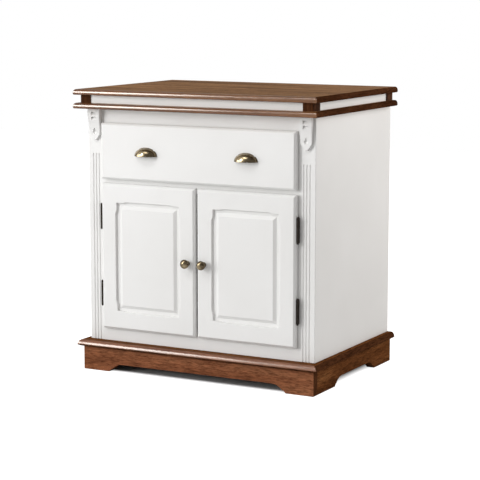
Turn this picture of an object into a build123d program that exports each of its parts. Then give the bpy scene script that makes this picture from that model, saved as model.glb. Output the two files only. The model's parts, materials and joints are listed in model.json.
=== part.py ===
from build123d import *
import math
import os

# Kitchen island cabinet: one drawer over two framed doors, on a plinth with cut-out feet.
# Frame: millimetres, +Z up, the front faces -Y, +X is to the right of someone facing the front.
# The origin is on the floor, under the centre of the worktop.

os.makedirs("parts", exist_ok=True)

# ---------------------------------------------------------------- driving dimensions
overall_width = 850.0
overall_depth = 600.0
overall_height = 900.0

# Worktop, frieze and cornice board, counted down from the top
slab_thickness = 18.0
frieze_height = 25.0
thumb_out = 9.0             # rounded edge of both slabs: from the flat out to the tip
thumb_down = 11.0           # and from the top down to the tip
slab_return = 4.0           # small round under the edge
frieze_setback = 18.0       # corner block face, in from the edge of the slabs
block_width = 36.0
block_depth = 45.0
frieze_recess = 3.0         # white strips, in from the faces of the corner blocks
frieze_thickness = 18.0

# Body
side_overhang = 25.0        # worktop edge, past the side panels
front_overhang = 50.0       # worktop edge, in front of the pilasters
board = 18.0                # side panels, pilasters, rails, doors, bottom and shelf
stile_width = 80.0
back_thickness = 6.0
back_rebate = 9.0
rail_lap = 16.0             # rails of the face frame, behind the edges of drawer front and doors
bottom_panel_lift = 18.0    # bottom panel, above the base moulding
front_edge_round = 1.5      # softened outer arris of each pilaster

# Base, counted up from the floor
base_top = 97.0
base_moulding_thickness = 20.0
base_moulding_overhang = 25.0     # past the side of the body
base_moulding_front = 44.0        # past the front of the body
base_board_width = 80.0
nose_out = 12.0
nose_down = 12.0
nose_face = 3.0
groove_in = 4.0
plinth_side_overhang = 10.0
plinth_front_overhang = 28.0
plinth_thickness = 27.0
corner_post = 40.0
corner_post_lift = 5.0
front_foot_length = 94.0
side_front_foot = 152.0
side_rear_foot = 127.0
foot_chamfer = 8.0
foot_step = 3.0
foot_curve_length = 35.0
foot_curve_along = 0.42     # where the curve bulges most, as a share of its length
foot_curve_up = 0.66        # and of its rise
arch_height = 26.0

# Doors and drawer front: the drawer front hangs down from the cornice board, and the doors
# fill the height that is left above the base
front_gap = 2.0             # between a closed front and the face frame
pilaster_show = 57.0        # width of pilaster left uncovered beside the fronts
edge_bevel_width = 6.5
edge_bevel_depth = 6.0
drawer_front_drop = 44.0    # drawer front, under the cornice board
drawer_front_height = 177.0
front_spacing = 14.0        # between drawer front and doors
door_lift = 42.0            # doors, above the base moulding
meeting_half_gap = 4.0
door_stile = 57.0           # stiles of a door, at their corners
door_rail = 60.0
stile_bow = 4.5             # how far the inner edge is hollowed along a stile
rail_bow = 3.0
bow_start = 20.0            # straight length at each corner
bow_ease = 14.0
sticking = 2.0              # small bevel round the opening
groove_depth = 12.0
groove_width = 6.0
groove_set_back = 1.0       # groove, behind the middle of the frame's thickness
tenon_shoulder = 8.0
panel_slack = 1.0           # room for the panel to move in its grooves
panel_flat_depth = 8.0      # flat margin of the panel, behind the face of the frame
panel_margin = 9.0
panel_bevel = 10.0
panel_field_depth = 1.5

# Drawer box
box_side = 12.0
box_height = 118.0
box_lift = 27.0             # drawer box, above the bottom edge of its front
box_length = 470.0
box_bottom = 6.0
box_bottom_up = 10.0
box_bottom_groove = 6.0

# Telescopic runners
runner_length = 450.0
runner_height = 45.0
runner_width = 12.7
runner_gauge = 1.2
runner_clearance = 0.3
runner_flange = 9.0         # reach of the cabinet member's flanges
inner_flange = 8.0          # reach of the intermediate member's flanges
runner_lift = 55.0          # runner's middle, above the bottom of the drawer box
runner_front_set = 5.0
batten_height = 60.0
batten_length = 470.0

# Hinges: five-knuckle butt hinges, barrel in front of the pilaster
knuckle_radius = 3.4
pin_radius = 1.8
pin_clearance = 0.05
knuckle_gap = 0.3
knuckles = 5
leaf_height = 76.0
leaf_gauge = 1.2
barrel_gap = 1.1            # between barrel and door edge
barrel_stand = 8.1          # between barrel and pilaster
frame_leaf_reach = 22.0     # behind the door, from the middle of the barrel
door_leaf_width = 11.0
leaf_inset = 0.6            # door leaf, in from the back of the door
tip_height = 4.0
hinge_below_door_top = 106.0
hinge_above_door_bottom = 112.0
hinge_screw_length = 13.0
hinge_screw_radius = 1.3
hinge_screw_head = 2.6
hinge_screw_spacing = 27.0
hinge_screw_outset = 2.0    # frame leaf's screws, out from the middle of its reach

# Knobs and cup pulls
knob_radius = 14.5
knob_projection = 28.5
knob_head_half = 8.5        # half the depth of the head
knob_neck_radius = 5.0
knob_foot_radius = 8.5
knob_foot_height = 2.5
knob_neck_step = 1.0        # foot, past the root of the neck
knob_screw_depth = 10.0
knob_from_edge = 25.0       # knob axis, in from the edge of its door
knob_screw_radius = 2.0
knob_screw_head = 1.6
pull_from_end = 167.0       # middle of a pull, in from the end of the drawer front
pull_lift = 79.0            # open edge of a pull, above the bottom of the drawer front
pull_width = 82.0
pull_height = 28.0
pull_projection = 25.0
pull_shell = 1.6
pull_centres = 64.0
pull_boss_radius = 3.6
pull_boss_lift = 10.0       # screws, above the open edge
pull_flange = 3.0
pull_flange_gauge = 1.4
pull_screw_radius = 2.0
pull_screw_depth = 6.0

# Corbels and flutes
corbel_width = 46.0
corbel_waist = 39.0
corbel_height = 100.0
corbel_tip = 18.0
corbel_head_out = 16.0      # the face stands out furthest at the head
corbel_foot_out = 9.0       # and sweeps back to the foot
corbel_bend = 34.0          # start of the sweep, below the top
corbel_swell = 0.6
corbel_tip_round = 3.0
notch_width = 15.0
notch_height = 12.5
notch_depth = 7.0
notch_first = 11.0          # top of the upper notch, below the top of the corbel
notch_pitch = 15.5
drop_width = 12.5
drop_height = 20.0
drop_below = 72.0
drop_depth = 5.0
flute_radius = 2.5
flute_pitch = 10.5
flute_below_corbel = 45.0

# Shelf and catches
shelf_clearance = 0.5
shelf_front_set = 40.0
shelf_back_gap = 5.0
shelf_pin_radius = 2.5
shelf_pin_length = 20.0
shelf_pin_inset = 60.0
shelf_hole_spacing = 64.0
catch_width = 40.0
catch_height = 14.0
catch_depth = 18.0
catch_from_centre = 34.0
strike_gauge = 1.0
strike_gap = 0.3
strike_end_margin = 4.0     # strike plate, in from the ends of the catch
strike_edge_margin = 1.0

# ---------------------------------------------------------------- places worked out from them
half_width = overall_width / 2
slab_front = -overall_depth / 2
back_face = overall_depth / 2
body_half = half_width - side_overhang
body_front = slab_front + front_overhang
worktop_low = overall_height - slab_thickness
cornice_top = worktop_low - frieze_height
cornice_low = cornice_top - slab_thickness
frame_back = body_front + board
side_inner = body_half - board
opening_half = body_half - stile_width
front_half_width = body_half - pilaster_show
block_half = half_width - frieze_setback
block_front = slab_front + frieze_setback
strip_end = block_half - block_width
base_low = base_top - base_moulding_thickness
base_half = body_half + base_moulding_overhang
base_front = body_front - base_moulding_front
plinth_half = body_half + plinth_side_overhang
plinth_front_y = body_front - plinth_front_overhang
drawer_front_high = cornice_low - drawer_front_drop
drawer_front_low = drawer_front_high - drawer_front_height
door_high = drawer_front_low - front_spacing
door_low = base_top + door_lift
top_rail_bottom = drawer_front_high - rail_lap
mid_rail_high = drawer_front_low + rail_lap
mid_rail_low = door_high - rail_lap
bottom_rail_top = door_low + rail_lap
bottom_panel_z = base_top + bottom_panel_lift
shelf_z = (bottom_panel_z + mid_rail_low) / 2
box_low = drawer_front_low + box_lift
runner_z = box_low + runner_lift
door_back = body_front - front_gap
door_face = door_back - board
hinge_x = front_half_width + barrel_gap + knuckle_radius
hinge_y = body_front - barrel_stand - knuckle_radius
knob_x = meeting_half_gap + knob_from_edge
knob_z = (door_low + door_high) / 2
pull_x = front_half_width - pull_from_end
pull_low = drawer_front_low + pull_lift
pull_screw_z = pull_low + pull_boss_lift
flute_top = cornice_low - corbel_height - flute_below_corbel
hinge_heights = [door_low + hinge_above_door_bottom, door_high - hinge_below_door_top]
pilaster_centre = (front_half_width + body_half) / 2


# ---------------------------------------------------------------- helpers
def box(x0, x1, y0, y1, z0, z1):
    """A box between two corners."""
    size = (abs(x1 - x0), abs(y1 - y0), abs(z1 - z0))
    centre = Pos((x0 + x1) / 2, (y0 + y1) / 2, (z0 + z1) / 2)
    return centre * Box(*size)


def rod(radius, start, direction, length):
    """A round rod from a point, along a direction."""
    return Plane(origin=start, z_dir=direction) * Cylinder(
        radius, length, align=(Align.CENTER, Align.CENTER, Align.MIN)
    )


def prism(plane, edges, direction):
    """A closed outline, drawn in a plane and pushed along a direction."""
    face = plane * Face(Wire(edges))
    return Solid.extrude(face, Vector(*direction))


def outline(points):
    """Straight edges through the points, closed."""
    loop = list(points) + [points[0]]
    return [Edge.make_line(Vector(*a), Vector(*b)) for a, b in zip(loop, loop[1:])]


def mirrored(shape):
    """The same piece on the other side of the cabinet."""
    return mirror(shape, about=Plane.YZ)


def save(name, *pieces):
    """Write one node, as one solid or as a group of separate solids."""
    solids = [solid for piece in pieces for solid in piece.solids()]
    shape = solids[0] if len(solids) == 1 else Compound(children=solids)
    export_step(shape, os.path.join("parts", name + ".step"))


# ---------------------------------------------------------------- moulded slabs
def thumb_outline(square_end, tip, z_low, z_high):
    """Section of a slab: square at one end, a thumb-shaped round over a small return at the tip."""
    way = 1 if tip > square_end else -1
    flat = tip - way * thumb_out
    under = tip - way * slab_return
    shoulder = z_high - thumb_down
    heel = z_low + slab_return
    over_mid = (flat + way * thumb_out * math.sin(math.pi / 4),
                shoulder + thumb_down * math.cos(math.pi / 4))
    under_mid = (under + way * slab_return * math.sin(math.pi / 4),
                 heel - slab_return * math.cos(math.pi / 4))
    return [
        Edge.make_line((square_end, z_low), (under, z_low)),
        Edge.make_three_point_arc((under, z_low), under_mid, (tip, heel)),
        Edge.make_line((tip, heel), (tip, shoulder)),
        Edge.make_three_point_arc((tip, shoulder), over_mid, (flat, z_high)),
        Edge.make_line((flat, z_high), (square_end, z_high)),
        Edge.make_line((square_end, z_high), (square_end, z_low)),
    ]


def nose_outline(square_end, tip, z_low, z_high):
    """Section of the base moulding: rounded nose, a narrow face, then a hollow under it."""
    way = 1 if tip > square_end else -1
    flat = tip - way * nose_out
    groove = tip - way * groove_in
    shoulder = z_high - nose_down
    lip = shoulder - nose_face
    hollow_low = lip - groove_in / 2
    over_mid = (flat + way * nose_out * math.sin(math.pi / 4),
                shoulder + nose_down * math.cos(math.pi / 4))
    return [
        Edge.make_line((square_end, z_low), (groove, z_low)),
        Edge.make_line((groove, z_low), (groove, hollow_low)),
        Edge.make_line((groove, hollow_low), (tip, lip)),
        Edge.make_line((tip, lip), (tip, shoulder)),
        Edge.make_three_point_arc((tip, shoulder), over_mid, (flat, z_high)),
        Edge.make_line((flat, z_high), (square_end, z_high)),
        Edge.make_line((square_end, z_high), (square_end, z_low)),
    ]


def moulded_slab(section, half, front, z_low, z_high):
    """A slab with its moulded edge on the front and both sides, square at the back."""
    side_plane = Plane(origin=(0, front, 0), x_dir=(1, 0, 0), z_dir=(0, -1, 0))
    front_plane = Plane(origin=(-half, 0, 0), x_dir=(0, 1, 0), z_dir=(1, 0, 0))
    across = prism(side_plane, section(0, half, z_low, z_high), (0, back_face - front, 0))
    across += mirrored(across)
    along = prism(front_plane, section(back_face, front, z_low, z_high), (2 * half, 0, 0))
    return across & along


def worktop():
    return moulded_slab(thumb_outline, half_width, slab_front, worktop_low, overall_height)


def cornice_board():
    return moulded_slab(thumb_outline, half_width, slab_front, cornice_low, cornice_top)


def frieze_corner_blocks():
    rear = back_face - block_depth
    blocks = []
    for y0 in (block_front, rear):
        right = box(strip_end, block_half, y0, y0 + block_depth, cornice_top, worktop_low)
        blocks += [mirrored(right), right]
    return blocks


def frieze_front():
    y0 = block_front + frieze_recess
    return box(-strip_end, strip_end, y0, y0 + frieze_thickness, cornice_top, worktop_low)


def frieze_back():
    y1 = back_face - frieze_recess
    return box(-strip_end, strip_end, y1 - frieze_thickness, y1, cornice_top, worktop_low)


def frieze_side():
    x1 = block_half - frieze_recess
    y0 = block_front + block_depth
    y1 = back_face - block_depth
    return box(x1 - frieze_thickness, x1, y0, y1, cornice_top, worktop_low)


# ---------------------------------------------------------------- body
def side_panel():
    """Right side panel: back rebate and a row of shelf pin holes at the front and the back."""
    panel = box(side_inner, body_half, frame_back, back_face, base_top, cornice_low)
    panel -= box(side_inner, side_inner + back_rebate, back_face - back_thickness, back_face,
                 base_top, cornice_low)
    depth = shelf_pin_length / 2
    for y in shelf_pin_rows():
        for step in (-1, 0, 1):
            z = shelf_z - shelf_pin_radius + step * shelf_hole_spacing
            panel -= rod(shelf_pin_radius + pin_clearance, (side_inner, y, z), (1, 0, 0), depth)
    return panel


def shelf_pin_rows():
    return [frame_back + shelf_front_set + shelf_pin_inset, back_face - shelf_pin_inset]


def back_panel():
    half = side_inner + back_rebate
    return box(-half, half, back_face - back_thickness, back_face, base_top, cornice_low)


def bottom_panel():
    return box(-side_inner, side_inner, frame_back, back_face - back_thickness,
               bottom_panel_z, bottom_panel_z + board)


def pilaster():
    """Right pilaster: three flutes with round heads, and holes for the hinge leaves' screws."""
    stile = box(opening_half, body_half, body_front, frame_back, base_top, cornice_low)
    corner = stile.edges().filter_by(Axis.Z).sort_by(Axis.Y)[:2].sort_by(Axis.X)[-1]
    stile = fillet(corner, front_edge_round)
    for step in (-1, 0, 1):
        x = pilaster_centre + step * flute_pitch
        stile -= rod(flute_radius, (x, body_front, base_top), (0, 0, 1), flute_top - base_top)
        stile -= Pos(x, body_front, flute_top) * Sphere(flute_radius)
    for centre in hinge_heights:
        stile -= frame_screws(centre)
    return stile


def rail(z_low, z_high):
    return box(-opening_half, opening_half, body_front, frame_back, z_low, z_high)


def corbel_outline():
    """Right half of the corbel's face: straight, then drawn in to a waist and a rounded tip."""
    top = cornice_low
    foot = top - corbel_height
    bend = top - corbel_height / 3
    shoulder = foot + corbel_tip
    half, waist = corbel_width / 2, corbel_waist / 2
    belly = ((half + waist) / 2 + corbel_swell, (bend + shoulder) / 2)
    return [
        Edge.make_line((0, top), (half, top)),
        Edge.make_line((half, top), (half, bend)),
        Edge.make_three_point_arc((half, bend), belly, (waist, shoulder)),
        Edge.make_line((waist, shoulder), (corbel_tip_round, foot)),
        Edge.make_line((corbel_tip_round, foot), (0, foot)),
        Edge.make_line((0, foot), (0, top)),
    ]


def corbel_sweep():
    """Side of the corbel: upright at the head, then swept back to the foot."""
    top, foot = cornice_low, cornice_low - corbel_height
    bend = top - corbel_bend
    shoulder = foot + corbel_tip
    head = body_front - corbel_head_out
    toe = body_front - corbel_foot_out
    ease = (bend - shoulder) / 2
    return [
        Edge.make_line((body_front, top), (head, top)),
        Edge.make_line((head, top), (head, bend)),
        Edge.make_bezier((head, bend), (head, bend - ease), (toe, shoulder + ease), (toe, shoulder)),
        Edge.make_line((toe, shoulder), (toe, foot)),
        Edge.make_line((toe, foot), (body_front, foot)),
        Edge.make_line((body_front, foot), (body_front, top)),
    ]


def corbel():
    """Right corbel: a tapering bracket with a swept face, a pointed foot, two notches and a drop."""
    x = pilaster_centre
    top = cornice_low
    front = body_front - corbel_head_out
    plane = Plane(origin=(0, body_front, 0), x_dir=(1, 0, 0), z_dir=(0, -1, 0))
    half = prism(plane, corbel_outline(), (0, -corbel_head_out, 0))
    sweep_plane = Plane(origin=(-corbel_width, 0, 0), x_dir=(0, 1, 0), z_dir=(1, 0, 0))
    sweep = prism(sweep_plane, corbel_sweep(), (2 * corbel_width, 0, 0))
    body = Pos(x, 0, 0) * ((half + mirrored(half)) & sweep)
    side_plane = Plane(origin=(x - notch_width / 2, 0, 0), x_dir=(0, 1, 0), z_dir=(1, 0, 0))
    for step in (0, 1):
        head = top - notch_first - step * notch_pitch
        low = head - notch_height
        wedge = [(front - 1, head), (front + notch_depth, head),
                 (front + notch_depth, head - notch_height / 4), (front, low), (front - 1, low)]
        body -= prism(side_plane, outline(wedge), (notch_width, 0, 0))
    drop = scale(Sphere(1), by=(drop_width / 2, drop_depth, drop_height / 2))
    return body - Pos(x, body_front - corbel_foot_out, top - drop_below) * drop


# ---------------------------------------------------------------- base
def base_ring():
    ring = moulded_slab(nose_outline, base_half, base_front, base_low, base_top)
    inner = base_half - base_board_width
    return ring - box(-inner, inner, base_front + base_board_width, back_face - base_board_width,
                      base_low, base_top)


def base_moulding_front():
    """Front length of the moulding frame, mitred at both ends."""
    depth = base_board_width
    mitre = [(-base_half, base_front), (base_half, base_front),
             (base_half - depth, base_front + depth), (-base_half + depth, base_front + depth)]
    return base_ring() & prism(Plane.XY.offset(base_low), outline(mitre),
                               (0, 0, base_moulding_thickness))


def base_moulding_side():
    """Right-hand length: mitred to the front, square at the back."""
    depth = base_board_width
    mitre = [(base_half, base_front), (base_half, back_face),
             (base_half - depth, back_face), (base_half - depth, base_front + depth)]
    return base_ring() & prism(Plane.XY.offset(base_low), outline(mitre),
                               (0, 0, base_moulding_thickness))


def base_back_rail():
    inner = base_half - base_board_width
    return box(-inner, inner, back_face - base_board_width, back_face, base_low, base_top)


def foot_profile(at, way):
    """From the floor up one foot's inner end: a chamfer, a short step and a long curve."""
    chamfer = at + way * foot_chamfer
    step = chamfer + way * foot_step
    crown = step + way * foot_curve_length
    rise = arch_height - foot_chamfer
    bulge = (step + way * foot_curve_length * foot_curve_along,
             foot_chamfer + rise * foot_curve_up)
    edges = [
        Edge.make_line((at, -1), (at, 0)),
        Edge.make_line((at, 0), (chamfer, foot_chamfer)),
        Edge.make_line((chamfer, foot_chamfer), (step, foot_chamfer)),
        Edge.make_three_point_arc((step, foot_chamfer), bulge, (crown, arch_height)),
    ]
    return edges, (crown, arch_height)


def arch_outline(start, end):
    """Cut-out between two feet, reaching just below the floor."""
    left, left_crown = foot_profile(start, 1)
    right, right_crown = foot_profile(end, -1)
    top = Edge.make_line(left_crown, right_crown)
    bottom = Edge.make_line((end, -1), (start, -1))
    return left + [top] + right + [bottom]


def plinth_front():
    y0 = plinth_front_y
    panel = box(-plinth_half, plinth_half, y0, y0 + plinth_thickness, 0, base_low)
    reach = plinth_half - front_foot_length
    plane = Plane(origin=(0, y0 - 1, 0), x_dir=(1, 0, 0), z_dir=(0, -1, 0))
    return panel - prism(plane, arch_outline(-reach, reach), (0, plinth_thickness + 2, 0))


def plinth_side():
    """Right plinth board, butted behind the front board."""
    x0 = plinth_half - plinth_thickness
    panel = box(x0, plinth_half, plinth_front_y + plinth_thickness, back_face, 0, base_low)
    plane = Plane(origin=(x0 - 1, 0, 0), x_dir=(0, 1, 0), z_dir=(1, 0, 0))
    arch = arch_outline(plinth_front_y + side_front_foot, back_face - side_rear_foot)
    return panel - prism(plane, arch, (plinth_thickness + 2, 0, 0))


def plinth_back():
    half = plinth_half - plinth_thickness
    return box(-half, half, back_face - plinth_thickness, back_face, 0, base_low)


def plinth_corner_blocks():
    x1 = plinth_half - plinth_thickness
    fronts = (plinth_front_y + plinth_thickness, back_face - plinth_thickness - corner_post)
    posts = []
    for y0 in fronts:
        right = box(x1 - corner_post, x1, y0, y0 + corner_post, corner_post_lift, base_low)
        posts += [mirrored(right), right]
    return posts


# ---------------------------------------------------------------- doors
def bevelled_board(x0, x1, z0, z1):
    """A front board: square back, bevelled all round its face."""
    middle_x, middle_z = (x0 + x1) / 2, (z0 + z1) / 2

    def section(low, high):
        return [(low, door_back), (low, door_face + edge_bevel_depth),
                (low + edge_bevel_width, door_face), (high - edge_bevel_width, door_face),
                (high, door_face + edge_bevel_depth), (high, door_back)]

    plan = outline(section(x0, x1))
    upright = outline([(y, z) for z, y in section(z0, z1)])
    standing = prism(Plane.XY.offset(z0), plan, (0, 0, z1 - z0))
    lying_plane = Plane(origin=(x0, 0, 0), x_dir=(0, 1, 0), z_dir=(1, 0, 0))
    lying = prism(lying_plane, upright, (x1 - x0, 0, 0))
    return standing & lying


def window_outline(x0, x1, z0, z1, grow=0.0):
    """Opening of a door frame: straight at the corners, hollowed a little along each side."""
    x0, x1, z0, z1 = x0 - grow, x1 + grow, z0 - grow, z1 + grow
    corners = [(x0, z0), (x1, z0), (x1, z1), (x0, z1)]
    bows = [(0, -rail_bow), (stile_bow, 0), (0, rail_bow), (-stile_bow, 0)]
    edges = []
    for index, start in enumerate(corners):
        end = corners[(index + 1) % 4]
        edges += hollowed_side(Vector(*start), Vector(*end), Vector(*bows[index]))
    return edges


def hollowed_side(start, end, bow):
    """One side of the opening, with an S-shaped ease at each end of its hollow."""
    along = (end - start).normalized()
    ease_in = [start + along * bow_start, start + along * (bow_start + bow_ease) + bow]
    ease_out = [end - along * (bow_start + bow_ease) + bow, end - along * bow_start]
    pull = along * (bow_ease / 2)
    return [
        Edge.make_line(start, ease_in[0]),
        Edge.make_bezier(ease_in[0], ease_in[0] + pull, ease_in[1] - pull, ease_in[1]),
        Edge.make_line(ease_in[1], ease_out[0]),
        Edge.make_bezier(ease_out[0], ease_out[0] + pull, ease_out[1] - pull, ease_out[1]),
        Edge.make_line(ease_out[1], end),
    ]


def door_window():
    """The right door's opening, with its small bevel at the face."""
    x0, x1 = meeting_half_gap + door_stile, front_half_width - door_stile
    z0, z1 = door_low + door_rail, door_high - door_rail
    plane = Plane(origin=(0, door_face, 0), x_dir=(1, 0, 0), z_dir=(0, -1, 0))
    through = prism(plane.offset(1), window_outline(x0, x1, z0, z1), (0, board + 2, 0))
    mouth = plane * Face(Wire(window_outline(x0, x1, z0, z1, sticking)))
    throat = plane.offset(-sticking) * Face(Wire(window_outline(x0, x1, z0, z1)))
    return through + Solid.make_loft([mouth.outer_wire(), throat.outer_wire()], True)


def groove_y():
    """Front and back of the groove that holds the panel."""
    middle = (door_face + door_back) / 2 + groove_set_back
    return middle - groove_width / 2, middle + groove_width / 2


def tenon_ends():
    """Heights between which the stiles are grooved and the rails' tenons lie."""
    return door_low + tenon_shoulder, door_high - tenon_shoulder


def door_blank():
    return bevelled_board(meeting_half_gap, front_half_width, door_low, door_high)


def frame_slot(x0, x1, z0, z1):
    y0, y1 = groove_y()
    return box(x0, x1, y0, y1, z0, z1)


def lock_stile():
    """Right door, the stile beside the meeting line, which carries the knob."""
    outer = meeting_half_gap
    inner = outer + door_stile
    stile = door_blank() & box(outer, inner, door_face, door_back, door_low, door_high)
    stile -= door_window()
    stile -= frame_slot(inner - groove_depth, inner, *tenon_ends())
    return stile - rod(knob_screw_radius, (knob_x, door_back, knob_z), (0, -1, 0), board)


def hinge_stile():
    """Right door, the stile beside the pilaster, let in for the two hinge leaves."""
    outer = front_half_width
    inner = outer - door_stile
    stile = door_blank() & box(inner, outer, door_face, door_back, door_low, door_high)
    stile -= door_window()
    stile -= frame_slot(inner, inner + groove_depth, *tenon_ends())
    for centre in hinge_heights:
        stile -= door_leaf_plate(centre)
        stile -= door_screws(centre)
    return stile


def door_rails():
    """Right door's bottom and top rails, with stub tenons in the stiles' grooves."""
    x0, x1 = meeting_half_gap + door_stile, front_half_width - door_stile
    blank, window = door_blank(), door_window()
    rails = []
    for outer, way in ((door_low, 1), (door_high, -1)):
        inner = outer + way * door_rail
        groove = inner - way * groove_depth
        piece = blank & box(x0, x1, door_face, door_back, outer, inner)
        piece -= window
        piece -= frame_slot(x0, x1, groove, inner)
        for start, end in ((x0 - groove_depth, x0), (x1, x1 + groove_depth)):
            piece += frame_slot(start, end, outer + way * tenon_shoulder, groove)
        rails.append(piece)
    return rails


def door_panel():
    """Right door's raised panel: tongue in the grooves, flat margin, bevel and raised field."""
    y0, y1 = groove_y()
    across = door_stile - groove_depth + panel_slack
    upright = door_rail - groove_depth + panel_slack
    x0, x1 = meeting_half_gap + across, front_half_width - across
    z0, z1 = door_low + upright, door_high - upright
    flat_y = door_face + panel_flat_depth
    field_y = door_face + panel_field_depth
    panel = box(x0, x1, flat_y, y1, z0, z1)
    inset = groove_depth - panel_slack + panel_margin
    foot = Plane.XZ.offset(-flat_y) * rectangle(x0 + inset, x1 - inset, z0 + inset, z1 - inset)
    inset += panel_bevel
    field = Plane.XZ.offset(-field_y) * rectangle(x0 + inset, x1 - inset, z0 + inset, z1 - inset)
    return panel + Solid.make_loft([foot.outer_wire(), field.outer_wire()], True)


def rectangle(x0, x1, z0, z1):
    return Face(Wire(outline([(x0, z0), (x1, z0), (x1, z1), (x0, z1)])))


def knob():
    """Right door's knob: a foot, a waisted neck and a mushroom head."""
    start = (knob_x, door_face, knob_z)
    head_middle = knob_projection - knob_head_half
    foot = rod(knob_foot_radius, start, (0, -1, 0), knob_foot_height)
    neck = Plane(origin=start, z_dir=(0, -1, 0)) * Cone(
        knob_foot_radius - knob_neck_step, knob_neck_radius, head_middle,
        align=(Align.CENTER, Align.CENTER, Align.MIN))
    head = Pos(knob_x, door_face - head_middle, knob_z) * scale(
        Sphere(1), by=(knob_radius, knob_head_half, knob_radius))
    return foot + neck + head - rod(knob_screw_radius, start, (0, -1, 0), knob_screw_depth)


def knob_screw():
    """Machine screw from the back of the door into the knob."""
    start = (knob_x, door_back, knob_z)
    shank = rod(knob_screw_radius, start, (0, -1, 0), board + knob_screw_depth)
    head = rod(knob_screw_radius * 2, start, (0, 1, 0), knob_screw_head)
    return shank + head


# ---------------------------------------------------------------- hinges, right-hand door
def knuckle_spans(centre, first):
    """Heights of every second knuckle, from the bottom of the barrel."""
    pitch = leaf_height / knuckles
    low = centre - leaf_height / 2
    for index in range(first, knuckles, 2):
        start = low + index * pitch + (knuckle_gap / 2 if index > 0 else 0)
        end = low + (index + 1) * pitch - (knuckle_gap / 2 if index < knuckles - 1 else 0)
        yield start, end


def frame_leaf(centre):
    """Leaf on the pilaster: plate behind the door, web and three knuckles."""
    low, high = centre - leaf_height / 2, centre + leaf_height / 2
    plate = box(hinge_x - frame_leaf_reach, hinge_x + leaf_gauge / 2,
                body_front - leaf_gauge, body_front, low, high)
    for start, end in knuckle_spans(centre, 0):
        plate += box(hinge_x - leaf_gauge / 2, hinge_x + leaf_gauge / 2,
                     hinge_y, body_front, start, end)
        plate += rod(knuckle_radius, (hinge_x, hinge_y, start), (0, 0, 1), end - start)
    plate -= rod(pin_radius + pin_clearance, (hinge_x, hinge_y, low), (0, 0, 1), leaf_height)
    for screw in frame_screws(centre):
        plate -= screw
    return plate


def door_leaf_plate(centre):
    low, high = centre - leaf_height / 2, centre + leaf_height / 2
    back = door_back - leaf_inset
    return box(front_half_width - leaf_gauge, front_half_width,
               back - door_leaf_width, back, low, high)


def door_leaf(centre):
    """Leaf let into the edge of the door: plate, webs and two knuckles."""
    low = centre - leaf_height / 2
    leaf = door_leaf_plate(centre)
    for start, end in knuckle_spans(centre, 1):
        leaf += box(front_half_width - leaf_gauge, hinge_x, hinge_y - leaf_gauge / 2,
                    hinge_y + leaf_gauge / 2, start, end)
        leaf += rod(knuckle_radius, (hinge_x, hinge_y, start), (0, 0, 1), end - start)
    leaf -= rod(pin_radius + pin_clearance, (hinge_x, hinge_y, low), (0, 0, 1), leaf_height)
    for screw in door_screws(centre):
        leaf -= screw
    return leaf


def hinge_pin(centre):
    """Pin with a rounded tip resting on each end of the barrel."""
    low, high = centre - leaf_height / 2, centre + leaf_height / 2
    pin = rod(pin_radius, (hinge_x, hinge_y, low), (0, 0, 1), leaf_height)
    for z, way in ((high, 1), (low, -1)):
        tip = Pos(hinge_x, hinge_y, z) * scale(
            Sphere(1), by=(knuckle_radius, knuckle_radius, tip_height))
        reach = 2 * knuckle_radius
        keep = box(hinge_x - reach, hinge_x + reach, hinge_y - reach, hinge_y + reach,
                   z, z + way * reach)
        pin += tip & keep
    return pin


def countersunk(start, direction):
    """A small countersunk wood screw with its head flush at the start."""
    head_height = hinge_screw_head - hinge_screw_radius
    cone = Plane(origin=start, z_dir=direction) * Cone(
        hinge_screw_head, hinge_screw_radius, head_height,
        align=(Align.CENTER, Align.CENTER, Align.MIN))
    return cone + rod(hinge_screw_radius, start, direction, hinge_screw_length)


def frame_screws(centre):
    x = hinge_x - frame_leaf_reach / 2 - hinge_screw_outset
    y = body_front - leaf_gauge
    return [countersunk((x, y, centre + step * hinge_screw_spacing), (0, 1, 0))
            for step in (-1, 0, 1)]


def door_screws(centre):
    y = door_back - leaf_inset - door_leaf_width / 2
    return [countersunk((front_half_width, y, centre + step * hinge_screw_spacing), (-1, 0, 0))
            for step in (-1, 0, 1)]


# ---------------------------------------------------------------- drawer
def drawer_front():
    front = bevelled_board(-front_half_width, front_half_width, drawer_front_low,
                           drawer_front_high)
    for x in pull_screw_places():
        front -= rod(pull_screw_radius, (x, door_back, pull_screw_z), (0, -1, 0), board)
    return front


def pull_screw_places():
    places = []
    for centre in (-pull_x, pull_x):
        places += [centre - pull_centres / 2, centre + pull_centres / 2]
    return places


def cup_pull(centre):
    """Half-dome shell, open underneath, with a thin flange against the drawer and two bosses."""
    dome_z = pull_height - pull_flange / 2

    def dome(shrink):
        return Pos(centre, door_face, pull_low) * scale(
            Sphere(1), by=(pull_width / 2 - pull_flange - shrink, pull_projection - shrink,
                           dome_z - shrink))

    front = box(centre - pull_width, centre + pull_width, door_face - pull_projection * 2,
                door_face, pull_low, pull_low + pull_height * 2)
    shell = (dome(0) - dome(pull_shell)) & front
    for x in (centre - pull_centres / 2, centre + pull_centres / 2):
        boss = rod(pull_boss_radius, (x, door_face, pull_screw_z), (0, -1, 0), pull_projection)
        shell += boss & dome(pull_shell / 2)
    rim = Plane(origin=(centre, door_face, pull_low), x_dir=(1, 0, 0), z_dir=(0, -1, 0))
    plate = prism(rim, half_ellipse(pull_width / 2, pull_height), (0, -pull_flange_gauge, 0))
    plate -= prism(rim.offset(-1), half_ellipse_cut(), (0, -pull_flange_gauge - 2, 0))
    pull = shell + plate
    for x in (centre - pull_centres / 2, centre + pull_centres / 2):
        pull -= rod(pull_screw_radius, (x, door_face, pull_screw_z), (0, -1, 0), pull_screw_depth)
    return pull


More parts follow.
